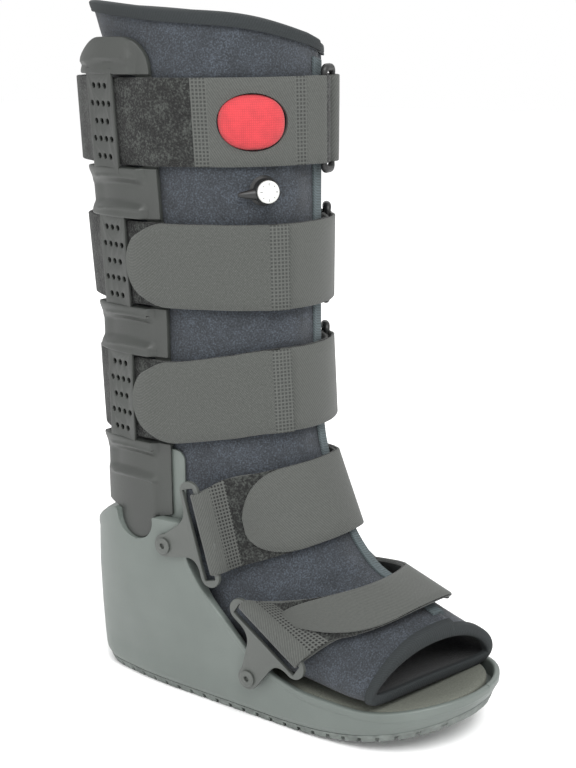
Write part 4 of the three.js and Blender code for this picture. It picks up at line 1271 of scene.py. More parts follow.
def upright_relief(z, y):
    """How far the upright's outer face stands off the brace curve."""
    across = (y - UPRIGHT_MIDDLE) / (UPRIGHT_BACK - UPRIGHT_FRONT) * 2
    inside = 1 - smooth(abs(across), 0.6, 0.98)
    smile = z - 2.6 * (1 - across**2) + 1.8
    away = min(abs(z - middle) - WINDOW_HALF for middle in WINDOW_MIDDLES)
    full = UPRIGHT_PROUD
    if z > WINDOW_MIDDLES[0] + WINDOW_HALF:
        # A ledge in a shallow smile parts the crown from the plate over the window.
        ledge = away - 5 - 2 * (1 - across**2)
        full += (2.2 - 3.2 * smooth(z, UPRIGHT_TOP - 14, UPRIGHT_TOP)) * smooth(ledge, 0, 1.6)
        full += 0.8 * inside * math.exp(-((ledge - 2) ** 2))
        share = 9
    else:
        lower = [m - WINDOW_HALF - smile for m in WINDOW_MIDDLES if m - WINDOW_HALF > z]
        share = min(lower) / WINDOW_GAP if lower else 9
    if share < 1.1:
        scoop = 2.4 * smooth(share, 0.24, 0.36) * (1 - smooth(share, 0.66, 0.78))
        full -= scoop * (0.25 + 0.75 * inside)
    full = lerp(PANEL_PROUD, full, smooth(away, 1.5, 9))
    ribs = sum(math.exp(-(((share - at) * WINDOW_GAP / 1.2) ** 2)) for at in (0.2, 0.82))
    full += 1.3 * ribs * inside
    # A lower flat strip runs down the front edge, past the windows.
    full = lerp(4.4, full, smooth(y, SLOT_FRONT - 2, SLOT_FRONT + 0.5))
    return lerp(full, FLANGE_THICK, smooth(-away, -0.5, 0.6))


def brace_section(z, span, steps, inner, outer):
    """A level section on the brace curve over a span in Y, between two offsets."""
    places = [lerp(*span, i / steps) for i in range(steps + 1)]
    outside = [brace_point(y, z, outer(y)) for y in places]
    return outside + [brace_point(y, z, inner) for y in reversed(places)]


def tongue_heights(radius):
    heights = [TONGUE_LOW - radius * cosine(90 * i / 9) for i in range(10)]
    return heights + [TONGUE_LOW + 0.5 * i for i in range(1, 14)]


def tongue_span(z, radius):
    """Front and back edge of the upright's rounded foot, or of the room for it."""
    half = math.sqrt(max(0, radius**2 - max(0, TONGUE_LOW - z) ** 2))
    return TONGUE_CENTRE - half, TONGUE_CENTRE + half


def upright_span(z):
    """Front and back edge of the upright at a height: the crown, the plate and the tongue."""
    front, back = UPRIGHT_FRONT, UPRIGHT_BACK
    over = z - (UPRIGHT_TOP - CROWN_RADIUS)
    if over > 0:
        shrink = CROWN_RADIUS - math.sqrt(max(0, CROWN_RADIUS**2 - over**2))
        return front + shrink, back - shrink
    tongue = tongue_span(z, TONGUE_RADIUS)
    wide = smooth(z, COLLAR_HEIGHT - 1.5, COLLAR_HEIGHT + 2)
    return lerp(tongue[0], front, wide), lerp(tongue[1], back, wide)


def upright_heights():
    """Heights of the upright's sections, closer together at its ends and at the windows."""
    heights = tongue_heights(TONGUE_RADIUS)
    z = heights[-1] + 2
    while z < UPRIGHT_TOP - CROWN_RADIUS:
        heights.append(z)
        z += 0.8
    heights += [UPRIGHT_TOP - CROWN_RADIUS * (1 - sine(90 * i / 12)) for i in range(13)]
    for middle in WINDOW_MIDDLES:
        for side in (-1, 1):
            heights += [middle + side * (WINDOW_HALF + step) for step in (-0.6, -0.3, 0, 0.3, 0.6)]
    heights.sort()
    return [z for z, after in zip(heights, [*heights[1:], 1e9]) if after - z > 0.12]


def make_window_panel(middle):
    """The flat panel that bridges a window over the strap, with its staggered round holes."""
    tall = 2 * WINDOW_HALF + 8
    back = brace_point(PANEL_BACK, middle, PANEL_UNDER)
    front = brace_point(PANEL_FRONT, middle, PANEL_UNDER)
    rise = brace_point(PANEL_FRONT, middle + tall / 2, PANEL_UNDER)
    rise = (rise - brace_point(PANEL_FRONT, middle - tall / 2, PANEL_UNDER)).normalized()
    outward = rise.cross(back - front).normalized()
    across = rise.cross(outward)
    wide, thick = (back - front).length, PANEL_PROUD - PANEL_UNDER
    clear_selection()
    bpy.ops.mesh.primitive_cube_add(size=1, scale=(wide * MM, tall * MM, thick * MM))
    panel = named("panel")
    bpy.ops.object.transform_apply(location=False)
    holes = []
    for row in range(-2, 3):
        count = 3 if row % 2 == 0 else 4
        for i in range(count):
            x = (i - (count - 1) / 2) * wide / 4.5
            clear_selection()
            bpy.ops.mesh.primitive_cylinder_add(
                vertices=20, radius=1.7 * MM, depth=3 * thick * MM,
                location=(x * MM, row * HOLE_PITCH * MM, 0),
            )
            holes.append(named("hole"))
    holes = join(holes, "holes")
    bpy.ops.object.transform_apply()
    carve(panel, holes)
    round_edges(panel, 0.45, 2, 50)
    middle_point = front.lerp(back, 0.5) + outward * thick / 2
    turn = Matrix((across, rise, outward)).transposed().to_4x4()
    panel.data.transform(Matrix.Translation(middle_point * MM) @ turn)
    return panel


def make_upright():
    """One side upright: a moulded bar with relief, three slotted windows and their panels."""
    sections = []
    for z in upright_heights():
        inner = (FLANGE_THICK if z < TAB_TOP + 1.2 else 0) + CLEARANCE
        outer = partial(upright_relief, z)
        sections.append(brace_section(z, upright_span(z), 32, inner, outer))
    bar = solid_of_sections("upright", sections)
    for middle in WINDOW_MIDDLES:
        low, high = middle - WINDOW_HALF, middle + WINDOW_HALF
        corners = [
            (y, z, 1.5)
            for y in (SLOT_FRONT + 1.5, SLOT_BACK - 1.5)
            for z in (low + 1.5, high - 1.5)
        ]
        carve(bar, side_plate("opening", round_hull(*corners), 30, 90))
    round_edges(bar, sizes().edge, 2, 48)
    panels = [make_window_panel(middle) for middle in WINDOW_MIDDLES]
    piece = join([bar, *panels], "upright")
    dress(piece, 40, "uprights")
    return piece


# The shell, the tread and the footbed


def outline_point(level, k):
    point, way_in = OUTLINES[level["up"]][k % OUTLINE_COUNT]
    spot = point + way_in * level["inset"]
    return Vector((spot.x, spot.y, level["height"](spot.y)))


OUTER_LEVELS = (
    dict(up=0, inset=3, height=lambda y: ground_at(y) + TREAD_THICK + CLEARANCE),
    dict(up=0, inset=0.8, height=lambda y: ground_at(y) + TREAD_THICK + 4),
    dict(up=0, inset=0, height=lambda y: max(rim_at(y) - 6, ground_at(y) + TREAD_THICK + 6)),
    dict(up=0.3, inset=-1, height=lambda y: rim_at(y) + 16),
    dict(up=0.62, inset=-1.6, height=lambda y: 0.607 * COLLAR_HEIGHT),
    dict(up=0.85, inset=-1, height=lambda y: 0.803 * COLLAR_HEIGHT),
    dict(up=1, inset=0, height=lambda y: COLLAR_HEIGHT + 1),
)
INNER_LEVELS = (
    dict(up=0, inset=SHELL_WALL, height=floor_at),
    dict(up=0.3, inset=SHELL_WALL - 1, height=lambda y: rim_at(y) + 16),
    dict(up=0.62, inset=SHELL_WALL, height=lambda y: 0.607 * COLLAR_HEIGHT),
    dict(up=0.85, inset=COLLAR_THICK, height=lambda y: 0.738 * COLLAR_HEIGHT),
    dict(up=1, inset=COLLAR_THICK, height=lambda y: COLLAR_HEIGHT + 2),
)
OUTLINES = {up: outline_at(up) for up in (0, 0.3, 0.62, 0.85, 1)}


def wall_point(levels, share, z):
    """A point of the shell's wall at a share of the way round the outline and a height."""
    k = share * OUTLINE_COUNT
    low = int(k)
    ends = []
    for i in (low, low + 1):
        points = [outline_point(level, i) for level in levels]
        j = 0
        while j < len(points) - 2 and z > points[j + 1].z:
            j += 1
        a, b = points[j], points[j + 1]
        ends.append(a.lerp(b, (z - a.z) / (b.z - a.z)))
    return ends[0].lerp(ends[1], k - low)


def spine_point(y, height):
    """The point under or over the middle of the sole that closes a section of it."""
    middle = HEEL_BACK - SOLE_LENGTH / 2
    spot = middle + 0.9 * (y - middle)
    return Vector((0, spot, height(spot)))


def sole_layer(name, rings):
    """A solid inside the sole's outline, through rings of (inset, height) from its underside up."""
    table = []
    for k in range(OUTLINE_COUNT + 1):
        edge = [outline_point(dict(up=0, inset=inset, height=height), k) for inset, height in rings]
        bottom = spine_point(edge[0].y, rings[0][1])
        top = spine_point(edge[-1].y, rings[-1][1])
        table.append([bottom, bottom.lerp(edge[0], 0.6), *edge, top.lerp(edge[-1], 0.6), top])
    return surface(name, table)


def half_width(y, inset):
    """Half the width of the sole's outline at a place along it."""
    level = dict(up=0, inset=inset, height=ground_at)
    points = [outline_point(level, k) for k in range(OUTLINE_COUNT // 2 + 1)]
    for a, b in zip(points, points[1:]):
        if b.y <= y <= a.y:
            return -lerp(a.x, b.x, (a.y - y) / max(a.y - b.y, 1e-6))
    return 0.3


def make_tread():
    """The tread as sections across it, with a square groove wherever two sections step up."""
    heel, toe = HEEL_BACK - 3, HEEL_BACK - SOLE_LENGTH + 3
    stations = [(lerp(heel, toe, 0.5 - 0.5 * cosine(180 * i / 90)), 0) for i in range(1, 90)]
    first = math.ceil((HEEL_BACK - SOLE_LENGTH) / TREAD_PITCH)
    for i in range(first, math.floor(HEEL_BACK / TREAD_PITCH)):
        middle, half = (i + 0.5) * TREAD_PITCH, TREAD_GROOVE / 2
        stations = [s for s in stations if abs(s[0] - middle) > half + 0.3]
        edges = ((half + 0.01, 0), (half - 0.01, 1), (-half + 0.01, 1), (-half - 0.01, 0))
        stations += [(middle + away, deep) for away, deep in edges]
    stations.sort(reverse=True)
    sections = []
    middle = (heel + toe) / 2
    for y, deep in stations:
        under = middle + (y - middle) * (heel - middle - 2.2) / (heel - middle)
        low, high = half_width(under, TREAD_THICK), half_width(y, 3)
        ground = ground_at(under)
        edge = ground + (TREAD_GROOVE if deep else 0)
        rim = ground + TREAD_THICK - 1.4
        right = [(low - 0.6, edge), (lerp(low, high, 0.12), edge + 0.5), (high - 0.3, rim)]
        right.append((high, ground_at(y) + TREAD_THICK))
        across = right + [(-x, z) for x, z in reversed(right)]
        depths = [under, under, lerp(under, y, 0.7), y]
        depths += depths[::-1]
        sections.append([Vector((x, d, z)) for (x, z), d in zip(across, depths)])
    piece = solid_of_sections("outsole", sections)
    dress(piece, 30, "sole")
    return settle(piece, "outsole")


def make_footbed():
    rings = [
        (SHELL_WALL + 4, lambda y: floor_at(y) + CLEARANCE),
        (SHELL_WALL + 4, lambda y: floor_at(y) + FOOTBED_THICK - 1.6),
        (SHELL_WALL + 4.5, lambda y: floor_at(y) + FOOTBED_THICK - 0.5),
        (SHELL_WALL + 5.6, lambda y: floor_at(y) + FOOTBED_THICK),
    ]
    piece = sole_layer("footbed", rings)
    dress(piece, 50, "footbed")
    return settle(piece, "footbed")


SHELL_COLUMNS = 150
SHELL_ROWS = 36


def shell_edge():
    """The upper edge of the shell, seen from the side, from the heel to the toe."""
    corners = []
    for along, up in WALL_ROWS:
        corners.append(Vector((0, HEEL_BACK - SOLE_LENGTH * along, lerp(RIM_HEIGHT, COLLAR_HEIGHT, up))))
    for i in range(13):
        y = HEEL_BACK - SOLE_LENGTH * (0.84 + 0.015 * i)
        corners.append(Vector((0, y, rim_at(y))))
    return soft_line(corners, 9)


def share_at(edge):
    """The share of the way round the outline where the wall has this point's Y."""
    low, high = 0.0, 0.5
    for _ in range(24):
        middle = (low + high) / 2
        if wall_point(OUTER_LEVELS, middle, edge.z).y > edge.y:
            low = middle
        else:
            high = middle
    return (low + high) / 2


def shell_columns():
    """Points of the shell's edge with the share of the outline above and below, on the near side."""
    edge = [p for p in shell_edge() if p.y < HEEL_BACK - 0.4]
    lengths = [0.0]
    for a, b in zip(edge, edge[1:]):
        lengths.append(lengths[-1] + (b - a).length)
    columns = []
    for k in range(SHELL_COLUMNS + 1):
        goal = lengths[-1] * k / SHELL_COLUMNS
        spot = edge[next((j for j, v in enumerate(lengths) if v >= goal), len(edge) - 1)]
        even = 0.5 * k / SHELL_COLUMNS
        share = even if k in (0, SHELL_COLUMNS) else share_at(spot)
        columns.append((spot.z, share, lerp(share, even, 0.6)))
    return columns


def shell_section(top, share, foot):
    """One closed section of the shell, from under its middle round the wall to its floor."""
    lip = sizes().lip
    base = wall_point(OUTER_LEVELS, foot, 0)
    low = ground_at(base.y) + TREAD_THICK + CLEARANCE
    points = []
    for i in range(SHELL_ROWS + 1):
        h = (i / SHELL_ROWS) ** 1.15
        z = lerp(low, top - lip, h)
        point = wall_point(OUTER_LEVELS, lerp(foot, share, h), z)
        bead = 0.5 * smooth(z, top - 5.4, top - 4.6)
        points.append(point + Vector((point.x, 0.3 * (point.y + 70), 0)).normalized() * bead)
    inner = wall_point(INNER_LEVELS, share, top - lip)
    middle, half = points[-1].lerp(inner, 0.5), (points[-1] - inner) / 2
    for angle in range(20, 180, 20):
        across = signed_power(cosine(angle), 0.75)
        rise = Vector((0, 0, lip * sine(angle) ** 0.75))
        points.append(middle + half * across + rise)
    for i in range(20):
        h = i / 19
        z = lerp(top - lip, floor_at(inner.y) + 0.01, h)
        points.append(wall_point(INNER_LEVELS, lerp(share, foot, h), z))
    under = spine_point(points[0].y, lambda y: ground_at(y) + TREAD_THICK + CLEARANCE)
    over = spine_point(points[-1].y, floor_at)
    return [under, under.lerp(points[0], 0.6), *points, over.lerp(points[-1], 0.6), over]


def socket_cutter():
    """The room for the foot of an upright in the shell's wall."""
    radius = TONGUE_RADIUS + CLEARANCE
    sections = []
    for z in [*tongue_heights(radius), TAB_TOP + 1]:
        if z < TONGUE_LOW:
            span = tongue_span(z, radius)
        else:
            front, back = upright_span(z)
            span = front - CLEARANCE, back + CLEARANCE
        sections.append(brace_section(z, span, 12, FLANGE_THICK, lambda y: 2 * UPRIGHT_PROUD))
    return solid_of_sections("socket", sections)


def socket_tab():
    """The tab of the shell that stands up behind an upright's front edge."""
    low, radius = COLLAR_HEIGHT - 20, 7
    count, arc = 40, 8
    heights = [lerp(low, TAB_TOP, i / count) for i in range(count - arc)]
    heights += [TAB_TOP - radius * (1 - sine(90 * i / arc)) for i in range(arc + 1)]
    sections = []
    for z in heights:
        over = max(0, z - (TAB_TOP - radius))
        shrink = radius - math.sqrt(max(0, radius**2 - over**2))
        span = TAB_FRONT + shrink, UPRIGHT_BACK - 4 - shrink
        sections.append(brace_section(z, span, 14, CLEARANCE, lambda y: FLANGE_THICK))
    return solid_of_sections("tab", sections)


def make_shell():
    table = [shell_section(*column) for column in shell_columns()]
    for section in table[-2:0:-1]:
        table.append([Vector((-p.x, p.y, p.z)) for p in section])
    table.append(table[0])
    piece = surface("shell", table)
    near_room, near_tab = socket_cutter(), socket_tab()
    far_room, far_tab = mirrored_copy(near_room, "far_room"), mirrored_copy(near_tab, "far_tab")
    carve(piece, near_room, far_room)
    for tab in (near_tab, far_tab):
        round_edges(tab, 0.5, 2, 50)
    piece = join([piece, near_tab, far_tab], "shell")
    dress(piece, 32, "shell")
    return settle(piece, "shell")


# Straps, rings and tabs


def fine_pair(upper, lower, pitch):
    """Both edges of a strap on smooth curves, at an even pitch: (high, low, distance, turn)."""
    made, distance = [], 0.0
    highs, lows = [p for _, p in upper], [p for _, p in lower]
    middles = [high.lerp(low, 0.5) for high, low in zip(highs, lows)]
    for i in range(len(upper) - 1):
        count = max(1, round((middles[i + 1] - middles[i]).length / pitch))
        for j in range(count):
            share = j / count
            high, low = spline_point(highs, i, share), spline_point(lows, i, share)
            turn = lerp(upper[i][0], upper[i + 1][0], share)
            if made:
                distance += (high.lerp(low, 0.5) - made[-1][0].lerp(made[-1][1], 0.5)).length
            made.append((high, low, distance, turn))
    last = (highs[-1], lows[-1])
    distance += (last[0].lerp(last[1], 0.5) - made[-1][0].lerp(made[-1][1], 0.5)).length
    made.append((*last, distance, upper[-1][0]))
    return made


def strap_band(name, pairs, zone, *keys):
    """A strap through pairs of edge points. zone(distance, turn, outside) gives its material slots."""
    across = 12
    sections, cloth = [], []
    edge = sizes().selvedge
    half = STRAP_THICK / 2
    for i, (high, low, distance, turn) in enumerate(pairs):
        ahead, behind = pairs[min(i + 1, len(pairs) - 1)], pairs[max(i - 1, 0)]
        outs = [(ahead[k] - behind[k]).cross(high - low).normalized() for k in (1, 0)]
        wide = (high - low).length
        outer, inner, marks = [], [], []
        for j in range(across + 1):
            # The selvedge takes the first and the last step across.
            at = {1: edge / wide, across - 1: 1 - edge / wide}.get(j, j / across)
            bend = edge if j in (0, across) else 0
            spot, out = low.lerp(high, at), outs[0].lerp(outs[1], at).normalized()
            swell = STRAP_CROWN * (1 - (2 * at - 1) ** 4)
            outer.append(spot + out * (half - bend + swell * 0.5 - STRAP_CROWN * 0.5))
            inner.append(spot - out * (half - bend))
            marks.append((distance, at * wide))
        sections.append([*outer, *reversed(inner)])
        cloth.append([*marks, *reversed(marks), marks[0]])

    def slot_of(i, j):
        pair = pairs[min(max(i - 1, 0), len(pairs) - 1)]
        return zone(pair[2], pair[3], j <= across)

    piece = solid_of_sections(name, sections, cloth=cloth, slot_of=slot_of)
    dress(piece, 50, *keys)
    return piece


def calf_zone(strap):
    """Material slots of a calf strap's stretches: 0 webbing, 1 sewn grid, 2 loop pile."""
    held, passed = strap["ring"] + RING_REACH, strap["ring"] - RING_REACH
    top = strap["side"] < 0

    def zone(distance, turn, outside):
        if top:
            if turn > 360 + passed - 1.5:
                return int(290 < turn < 298)
            seen = -wrap_turn(turn)
            if -14 < seen < -7.5 or -62 < seen < -55.5:
                return 1
            return 0 if -62 <= seen <= 2 else 2
        if turn < held + TUCK_TURN + 14:
            return 1
        return 2 if turn < 360 + passed - 3 and outside else 0

    return zone


def pump_window_cutter():
    """The oval that the top strap leaves free for the pump, as a column through it."""
    table = []
    along, up = PUMP_LENGTH / 2 + 0.6, PUMP_HEIGHT / 2 + 0.6
    for i in range(49):
        a = 360 * i / 48
        spots = [(0, -4), (1, -4), (1, 14), (0, 14)]
        table.append([
            over_calf(PUMP_TURN, PUMP_Z, along * r * cosine(a), up * r * sine(a), h) for r, h in spots
        ])
    return surface("pump_window", table)


def over_calf(turn, z, along, up, offset):
    """A point over the calf at a distance from a spot on it, measured along the surface."""
    step = offset_point(liner_curve, turn + 0.5, z, 0) - offset_point(liner_curve, turn - 0.5, z, 0)
    at = turn + along / step.length
    return offset_point(liner_curve, at, z + up, offset + flap_proud(min(at, FLAP_EDGE)))


def make_calf_strap(key):
    strap = CALF_STRAPS[key]
    upper, lower = calf_edge(strap, STRAP_WIDTH / 2), calf_edge(strap, -STRAP_WIDTH / 2)
    pairs = fine_pair(upper, lower, 2.0)
    piece = strap_band("strap_" + key, pairs, calf_zone(strap), "webbing", "sewn", "pile")
    if key == "top":
        carve(piece, pump_window_cutter())
        smooth_faces(piece, 50)
    return settle(piece, "strap_" + key)


def make_foot_strap(key):
    strap = FOOT_STRAPS[key]
    pairs = fine_pair(foot_edge(strap, 1), foot_edge(strap, -1), 2.0)
    # The stretch past the near bar is sewn through in a grid, then the loop pile runs to the far slot.
    sewn = max(distance for _, _, distance, turn in pairs if turn == -80) + 6
    far = min(distance for _, _, distance, turn in pairs if turn == 80)

    def zone(distance, turn, outside):
        if sewn < distance < sewn + 12:
            return 1
        return 2 if sewn < distance < far and outside else 0

    piece = strap_band("strap_" + key, pairs, zone, "webbing", "stitched", "pile")
    return settle(piece, "strap_" + key)


def make_ring(key):
    """A rectangular ring of round bar that the strap passes through."""
    strap = CALF_STRAPS[key]
    turn = strap["side"] * strap["ring"]
    z = strap["rise"](turn)

    def bar_at(side, height):
        return line_point(turn + side * RING_REACH, height, STRAP_THICK / 2 + FOLD_RADIUS)

    half = (bar_at(1, z) - bar_at(-1, z)).length / 2
    tall, corner = STRAP_WIDTH / 2 + 2.4 + BAR_RADIUS, 3.6
    path, radii = [], []
    for sx, sz in ((1, 1), (-1, 1), (-1, -1), (1, -1)):
        for i in range(7):
            share = i / 6 if sx * sz > 0 else 1 - i / 6
            across = sx * (half - corner + corner * cosine(90 * share)) / half
            height = z + sz * (tall - corner + corner * sine(90 * share))
            path.append(bar_at(-1, height).lerp(bar_at(1, height), (1 + across) / 2))
            # The two ends are stouter than the bars that the strap turns round.
            radii.append(BAR_RADIUS * (1 + 0.35 * sine(90 * share)))
    way = (bar_at(1, z) - bar_at(-1, z)).normalized()
    piece = tube("ring_" + key, path, radii, Vector((way.y, -way.x, 0)), around=True)
    dress(piece, 80, "black")
    return settle(piece, "ring_" + key)


TAB_OVER = PANEL_PROUD - STRAP_OVER - LAYER_STEP + CLEARANCE


def make_hook_tab(key):
    """The knit-faced tab sewn on a calf strap's free end, with its rounded tip."""
    rise = CALF_STRAPS[key]["rise"]
    # Towards the upright a turn is longer on the surface, so the tip takes fewer of them.
    start, stop, radius, rounding = STRAP_END + 5, -79, STRAP_WIDTH / 2, 16
    stations = [(lerp(start, stop, i / 36), 1.0) for i in range(37)]
    stations += [(stop - rounding * sine(90 * i / 14), cosine(90 * i / 14)) for i in range(1, 14)]
    stations.append((stop - rounding * 0.9995, 0.03))
    pairs, distance = [], 0.0
    for turn, narrow in stations:
        offset = LAYER_STEP * (1 + smooth(turn, STRAP_END - 11, STRAP_END - 2)) + 0.25
        offset += TAB_OVER * smooth(-turn, -stop, 91)
        ends = [
            line_point(turn, rise(turn) + level * narrow * radius, offset + STRAP_THICK / 2)
            for level in (1, -1)
        ]
        middle = ends[0].lerp(ends[1], 0.5)
        if pairs:
            distance += (middle - pairs[-1][0].lerp(pairs[-1][1], 0.5)).length
        pairs.append((*ends, distance, turn))
    piece = strap_band("tab_" + key, pairs, lambda d, t, outside: int(d < 10), "knit", "sewn")
    return settle(piece, "tab_" + key)


# Brackets and rivets


def bracket_axis(bracket):
    """Both ends of a bracket's bar in Y and Z, and the way from it to the heel."""
    high, low = Vector(bracket["high"]), Vector(bracket["low"])
    return high, low, Vector((high.y - low.y, low.x - high.x)).normalized()


def from_line(point, a, b):
    """Distance of a point from a straight line between two others."""
    share = (point - a).dot(b - a) / (b - a).length_squared
    return (point - a.lerp(b, min(max(share, 0), 1))).length


def bracket_outline(bracket):
    """The rounded bar and the ear to its rivet, run into each other with hollow corners."""
    high, low, rear = bracket_axis(bracket)
    rivet, start, web = Vector(bracket["rivet"]), low.lerp(high, 0.36), low.lerp(high, 0.64)
    ends = high + rear * 1.2, low + rear * 1.2
    ease = 9

    def inside(point):
        bar = from_line(point, *ends) - 7.2
        ear = min(from_line(point, rivet, start) - 7.4, from_line(point, rivet, web) - 6)
        eased = max(ease - abs(bar - ear), 0) / ease
        return min(bar, ear) < eased * eased * ease / 4

    outline = []
    for k in range(200):
        way = Vector((cosine(1.8 * k), sine(1.8 * k)))
        reach = 60
        while not inside(start + way * reach):
            reach -= 0.1
        outline.append(start + way * reach)
    return outline


def make_bracket(name, bracket):
    """A flat plate with a slot for its strap and an ear for its rivet."""
    high, low, rear = bracket_axis(bracket)
    face, outer = bracket["face"], bracket["face"] + BRACKET_THICK
    piece = side_plate(name, bracket_outline(bracket), face, outer)
    corner = 0.8
    aside = rear * (BRACKET_SLOT / 2 - corner)
    ends = [low.lerp(high, share) + aside * side for share in (-0.03, 1.03) for side in (-1, 2.8)]
    slot = side_plate("slot", round_hull(*((*p, corner) for p in ends)), face - 3, outer + 3)
    hole = side_plate("hole", round_hull((*bracket["rivet"], 2.95)), face - 3, outer + 3)
    carve(piece, slot, hole)
    round_edges(piece, 0.6, 3, 60, clamped=True)
    dress(piece, 40, "brackets")
    return piece


def make_rivet(name, bracket):
    """A hollow rivet: a shank, a rounded head and a dimple in its middle."""
    y, z = bracket["rivet"]
    head = (
        (5.0, 0), (5.2, 0.3), (5.1, 0.9), (4.4, 1.4), (3.4, 1.6), (2.2, 1.5), (1.7, 1.0),
        (1.6, -0.4), (0, -0.5),
    )
    outer = BRACKET_THICK + CLEARANCE
    profile = [(0, -3), (2.6, -3), (2.6, outer), *((r, outer + h) for r, h in head)]
    place = Matrix.Translation((-bracket["face"], y, z)) @ Matrix.Rotation(math.radians(-90), 4, "Y")
    piece = turned(name, profile, place)
    dress(piece, 40, "brackets")
    return piece


def settle_pair(near, kind):
    """Settles a near piece and its mirrored copy on the far side."""
    far = mirrored_copy(near, "far")
    settle(near, kind + "_near")
    settle(far, kind + "_far")


# Pump and valve


def make_pump():
    """The soft bulb under its knit cover, standing out of the top strap's window."""
    high = PUMP_DOME + 3
    # Share of the half size and of the height, from the rim over the dome.
    outer = [(1 - 0.06 * (i / 3) ** 2, 0.32 * i / 3) for i in range(4)]
    outer += [(0.94 * cosine(a) ** 0.8, 0.32 + 0.68 * sine(a)) for a in range(10, 90, 8)]
    profile = [(r, CLEARANCE + lift * high) for r, lift in outer]
    profile.append((0, CLEARANCE + high))
    inside = [(0.94 * r, h - 0.6) for r, h in profile[::-1]]
    loop = [*profile, *inside, (0.94, CLEARANCE - 0.1), profile[0]]
    table, cloth = [], []
    for a in range(0, 361, 5):
        # The bulb is a rounded oval: squarer than an ellipse.
        x, y = signed_power(cosine(a), 0.86), signed_power(sine(a), 0.86)
        cloth.append([(PUMP_LENGTH / 2 * r * x, PUMP_HEIGHT / 2 * r * y) for r, _ in loop])
        heights = [h for _, h in loop]
        table.append([over_calf(PUMP_TURN, PUMP_Z, *at, h) for at, h in zip(cloth[-1], heights)])
    piece = surface("pump", table, cloth)
    dress(piece, 70, "bulb")
    return settle(piece, "pump")


def valve_place():
    """The placing of the valve on the calf: X and Y along its face, Z out of it."""
    at = over_calf(VALVE_TURN, VALVE_Z, 0, 0, CLEARANCE)
    out = way_out(liner_curve, VALVE_TURN, VALVE_Z)
    up = Vector((0, 0, 1))
    return Matrix.Translation(at) @ Matrix((up.cross(out), up, out)).transposed().to_4x4()


def make_valve():
    """The round housing of the air valve with the tapered spout at its side."""
    place = valve_place()
    r, deep = VALVE_RADIUS, VALVE_DEEP
    dial = DIAL_RADIUS - 0.3 + CLEARANCE
    profile = [
        (0, 0), (r + 1.6, 0), (r + 1.6, 0.7), (r + 0.9, 1.3), (r, 2.1), (r, deep - 0.5),
        (r - 0.2, deep), (dial + 0.15, deep), (dial, deep - 0.2), (dial, VALVE_SEAT),
        (2.35, VALVE_SEAT), (2.35, 2.5), (0, 2.5),
    ]
    body = turned("valve_body", profile, place)
    spout_path = [(-5.5, 3.4), (-8, 3.3), (-11, 2.6), (-14, 1.9), (-16.6, 1.3), (-17.2, 0.7)]
    spout = [place @ Vector((x, -1.4, 4.2)) for x, _ in spout_path]
    up = place.to_3x3() @ Vector((0, 1, 0))
    nozzle = tube("nozzle", spout, [size for _, size in spout_path], up, sides=24)
    piece = join([body, nozzle], "valve_body")
    dress(piece, 40, "black")
    return settle(piece, "valve_body")


def make_dial():
    """The valve's dial: a white disc with plain ticks round its shallow middle."""
    place = valve_place()
    low = VALVE_SEAT + CLEARANCE
    radius, top = DIAL_RADIUS - 0.3, low + DIAL_THICK
    profile = [
        (0, 3), (2, 3), (2, low), (radius, low), (radius, top - 0.7), (radius - 0.15, top - 0.3),
        (radius - 0.6, top), (3.3, top), (3.1, top - 0.12), (0, top - 0.12),
    ]
    disc = turned("valve_dial", profile, place)
    clothe(disc, "dial", "black")
    marks = []
    in_metres = place.copy()
    in_metres.translation *= MM
    for i in range(8):
        clear_selection()
        long = 1.5 if i % 2 == 0 else 0.9
        bpy.ops.mesh.primitive_cube_add(size=1, scale=(0.35 * MM, long * MM, 0.12 * MM))
        mark = named("tick")
        bpy.ops.object.transform_apply()
        spin = Matrix.Rotation(math.radians(45 * i), 4, "Z")
        mark.data.transform(in_metres @ spin @ Matrix.Translation((0, 4.7 * MM, top * MM)))
        clothe(mark, "dial", "black")
        for face in mark.data.polygons:
            face.material_index = 1
        marks.append(mark)
    piece = join([disc, *marks], "valve_dial")
    smooth_faces(piece, 40)
    return settle(piece, "valve_dial", body="dial")


# Floor, light and camera

# The camera fitted to the photo: millimetres, degrees, and pixels of a picture 768 high.
CAMERA_PLACE = (-717.3, -576.9, 418)
CAMERA_BEARING = -54.86
CAMERA_TILT = 13.81
CAMERA_ROLL = -0.59
CAMERA_FOCUS = 1449.5
PICTURE_HEIGHT = 768
SENSOR = 36
# Name, place and size in metres, power in watts.
LIGHTS = (
    ("key_light", (-1.1, -1.5, 2.1), 1.3, 60),
    ("fill_light", (-2.2, 0.6, 1.2), 2.0, 16),
    ("back_light", (1.6, 1.2, 2.0), 1.6, 15),
)
LIGHT_TARGET = (0, 0, 0.2)


def add_light(name, location, size, power):
    """A square soft light that faces the boot."""
    clear_selection()
    bpy.ops.object.light_add(type="AREA", location=location)
    light = bpy.context.object
    light.name = name
    light.data.energy = power
    light.data.size = size
    way = Vector(LIGHT_TARGET) - Vector(location)
    light.rotation_euler = way.to_track_quat("-Z", "Y").to_euler()
    return light


